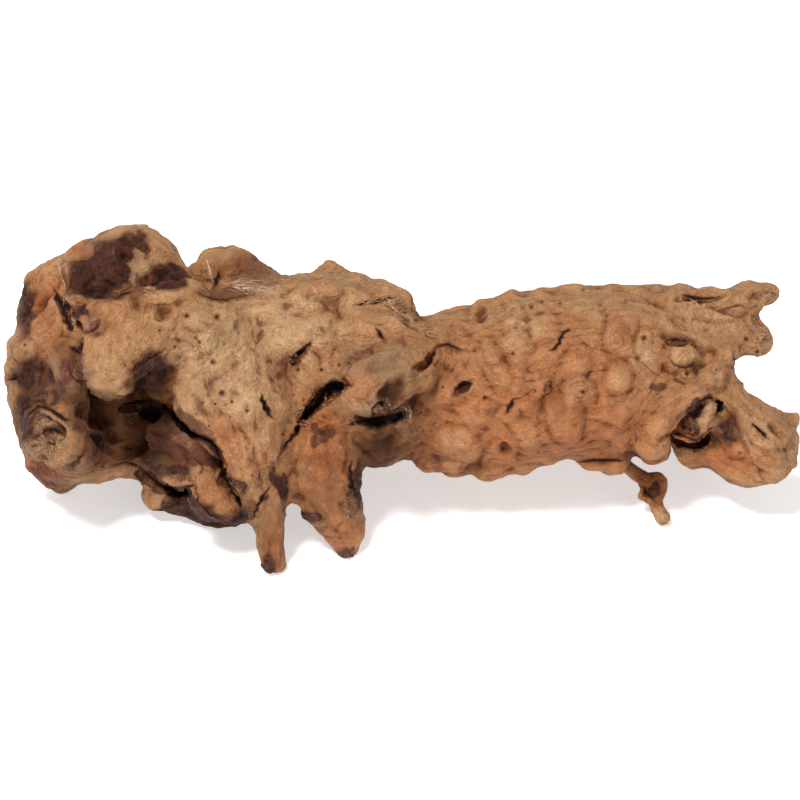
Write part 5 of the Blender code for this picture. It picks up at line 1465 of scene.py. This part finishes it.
def fibre_material(colours):
    """Splinters and loose fibres: broken wood, whiter where bleached and darker inside splits."""
    n = Nodes("wood_fibres")
    place = n.scaled(n.add("ShaderNodeTexCoord", {}, (), "Object"), 1000.0, 1000.0, 1000.0)
    bleach, speck = n.mark("bleach"), n.noise(place, 0.6, 4.0, 0.6)
    wood = n.mix(n.smooth(speck, -0.6, 0.8), tuple(colours.red_brown), tuple(colours.splinter))
    wood = n.mix(n.clip(bleach * 0.8), wood, linear(196, 178, 158))
    n.give(n.shader.inputs["Base Color"], n.mix(n.clip(bleach * -1.4), wood, tuple(colours.dark)))
    n.shader.inputs["Roughness"].default_value = 0.75
    n.shader.inputs["Specular IOR Level"].default_value = FIBRE_SHINE
    return n.material


def number_property(name, description, default, unit="NONE"):
    """A size in millimetres, a strength, or a power in watts."""
    return bpy.props.FloatProperty(
        name=name, description=description, default=default, min=0, unit=unit
    )


class BogWoodSizes(bpy.types.PropertyGroup):
    """Sizes of the root's skin, in millimetres."""

    fillet: number_property("Fillet", "How much the limbs are thickened before they fuse", 2.6)
    take_back: number_property("Take back", "How much the fused skin is taken back", 2.1)
    first_voxel: number_property("First voxel", "Voxel size of the fused limbs", 1.5)
    cut_voxel: number_property("Cut voxel", "Voxel size of the hollows", 0.7)
    fine_voxel: number_property("Fine voxel", "Voxel size of the finished skin", 0.95)
    relief_gain: number_property("Fine relief", "Strength of wrinkles, bark and broken wood", 1.0)
    triangles: bpy.props.IntProperty(
        name="Triangles", description="Triangles kept in the skin", default=194000, min=0
    )


def colour_property(name, description, default):
    """A colour property with alpha."""
    return bpy.props.FloatVectorProperty(
        name=name, description=description, default=default, size=4, subtype="COLOR", min=0, max=1
    )


class BogWoodColours(bpy.types.PropertyGroup):
    """Colours of the root."""

    tan: colour_property("Tan", "Weathered wood of the head", linear(178, 134, 92))
    orange: colour_property("Orange", "Warmer wood of the trunk", linear(180, 103, 56))
    pale: colour_property("Pale", "Worn, bleached wood", linear(208, 173, 130))
    salmon: colour_property("Salmon", "Pinkish mottling", linear(188, 112, 76))
    # Red brown also paints shade in creases, valleys and the painted-shade patches
    red_brown: colour_property("Red brown", "Streaks, rings and creases", linear(116, 55, 26))
    # Brown paints stains and also painted shade in the brown patches
    brown: colour_property("Brown", "Stained wood", linear(102, 58, 34))
    plum: colour_property("Plum", "Purplish bark and stains", linear(98, 54, 42))
    grey: colour_property("Grey", "Greyed wood and scuffed bark", linear(140, 108, 80))
    splinter: colour_property("Splinter", "Broken wood", linear(192, 155, 114))
    bark: colour_property("Bark", "Dark bark", linear(60, 29, 18))
    bark_light: colour_property("Light bark", "Bark where it is worn", linear(98, 54, 36))
    # Dark also paints the shade inside the hollows
    dark: colour_property("Dark", "Bottom of holes and splits", linear(16, 10, 7))


class BogWoodStage(bpy.types.PropertyGroup):
    """The floor, the lights and the camera."""

    sky: number_property("Sky", "Strength of the light from all sides", 0.4)
    key: number_property("Key light", "Power of the main lamp", 42.0, "POWER")
    fill: number_property("Fill light", "Power of the second lamp", 3.0, "POWER")
    floor: colour_property("Floor", "Colour of the floor", (0.9, 0.9, 0.9, 1))
    floor_glow: number_property("Floor glow", "Light that the floor gives off of its own", 0.5)


def floor_material(look):
    """A matt pale floor that gives off a little light of its own."""
    n = Nodes("pale_floor")
    n.shader.inputs["Base Color"].default_value = tuple(look.floor)
    n.shader.inputs["Roughness"].default_value = 0.9
    n.shader.inputs["Emission Color"].default_value = (1, 1, 1, 1)
    n.shader.inputs["Emission Strength"].default_value = look.floor_glow
    return n.material


class BOGWOOD_OT_root(bpy.types.Operator):
    """Grow the root's fine skin over the solid"""

    bl_idname = "bogwood.root"
    bl_label = "Root wood"

    def execute(self, context):
        settings = context.scene
        root, cuts = grow_skin(settings.bog_wood_sizes)
        write_marks(root, cuts)
        root.data.materials.clear()
        root.data.materials.append(wood_material(settings.bog_wood_colours))
        root.data.shade_smooth()
        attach(root, "root")
        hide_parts(NODE)
        return {"FINISHED"}


class BOGWOOD_OT_fibres(bpy.types.Operator):
    """Lay splinters and loose fibres on the torn places"""

    bl_idname = "bogwood.fibres"
    bl_label = "Splinters and fibres"

    def execute(self, context):
        skin = bpy.data.objects["weathered_root"]
        tree = BVHTree.FromObject(skin, context.evaluated_depsgraph_get())
        tubes, bleach = splinter_tubes(tree)
        fibres = mesh_object("wood_fibres", tubes)
        layer = fibres.data.attributes.new("bleach", "FLOAT", "POINT")
        layer.data.foreach_set("value", bleach.astype(np.float32))
        fibres.data.materials.append(fibre_material(context.scene.bog_wood_colours))
        fibres.data.shade_smooth()
        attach(fibres, "root")
        return {"FINISHED"}


class BOGWOOD_OT_stage(bpy.types.Operator):
    """Lay the floor, hang the lamps and place the camera"""

    bl_idname = "bogwood.stage"
    bl_label = "Stage"

    def execute(self, context):
        scene = context.scene
        look = scene.bog_wood_stage
        mesh = bpy.data.meshes.new("floor")
        corners = [(x * FLOOR_HALF, y * FLOOR_HALF, 0) for x, y in ((-1, -1), (1, -1), (1, 1), (-1, 1))]
        mesh.from_pydata(corners, [], [(0, 1, 2, 3)])
        floor = bpy.data.objects.new("floor", mesh)
        scene.collection.objects.link(floor)
        mesh.materials.append(floor_material(look))
        world = bpy.data.worlds.new("studio")
        world.use_nodes = True
        world.node_tree.nodes["Background"].inputs["Color"].default_value = (1, 1, 1, 1)
        world.node_tree.nodes["Background"].inputs["Strength"].default_value = look.sky
        scene.world = world
        target = Vector((-MIDDLE[0], -MIDDLE[1], -GROUND)) * MM
        for name, place, size in LAMPS:
            lamp = bpy.data.lights.new(name, "AREA")
            lamp.size, lamp.energy = size, getattr(look, name)
            obj = bpy.data.objects.new(name, lamp)
            obj.location = place
            obj.rotation_euler = (target - Vector(place)).to_track_quat("-Z", "Y").to_euler()
            scene.collection.objects.link(obj)
        camera = bpy.data.cameras.new("eye")
        camera.lens, camera.sensor_width = LENS, SENSOR
        obj = bpy.data.objects.new("eye", camera)
        obj.location = target + Vector(TOWARDS_EYE) * EYE_DISTANCE * MM
        obj.rotation_euler = (math.pi / 2 - LEAN, 0, 0)
        scene.collection.objects.link(obj)
        scene.camera = obj
        scene.view_settings.view_transform = "Standard"
        return {"FINISHED"}


class BOGWOOD_PT_panel(bpy.types.Panel):
    """The root's operators and settings in the sidebar."""

    bl_label = "Bog wood root"
    bl_idname = "BOGWOOD_PT_panel"
    bl_space_type = "VIEW_3D"
    bl_region_type = "UI"
    bl_category = "Bog wood"

    def draw(self, context):
        layout, scene = self.layout, context.scene
        for operator in (BOGWOOD_OT_root, BOGWOOD_OT_fibres, BOGWOOD_OT_stage):
            layout.operator(operator.bl_idname)
        for group in (scene.bog_wood_sizes, scene.bog_wood_colours, scene.bog_wood_stage):
            box = layout.box()
            for name in group.bl_rna.properties.keys():
                if name not in ("rna_type", "name"):
                    box.prop(group, name)


CLASSES = (
    BogWoodSizes, BogWoodColours, BogWoodStage, BOGWOOD_OT_root, BOGWOOD_OT_fibres, BOGWOOD_OT_stage,
    BOGWOOD_PT_panel,
)
GROUPS = {
    "bog_wood_sizes": BogWoodSizes, "bog_wood_colours": BogWoodColours, "bog_wood_stage": BogWoodStage,
}


def register():
    """Adds the property groups, operators and panel to Blender."""
    for cls in CLASSES:
        bpy.utils.register_class(cls)
    for name, group in GROUPS.items():
        setattr(bpy.types.Scene, name, bpy.props.PointerProperty(type=group))


def unregister():
    """Takes them out again."""
    for name in GROUPS:
        delattr(bpy.types.Scene, name)
    for cls in reversed(CLASSES):
        bpy.utils.unregister_class(cls)


def main():
    register()
    bpy.ops.bogwood.root()
    bpy.ops.bogwood.fibres()
    bpy.ops.bogwood.stage()


if __name__ == "__main__":
    main()
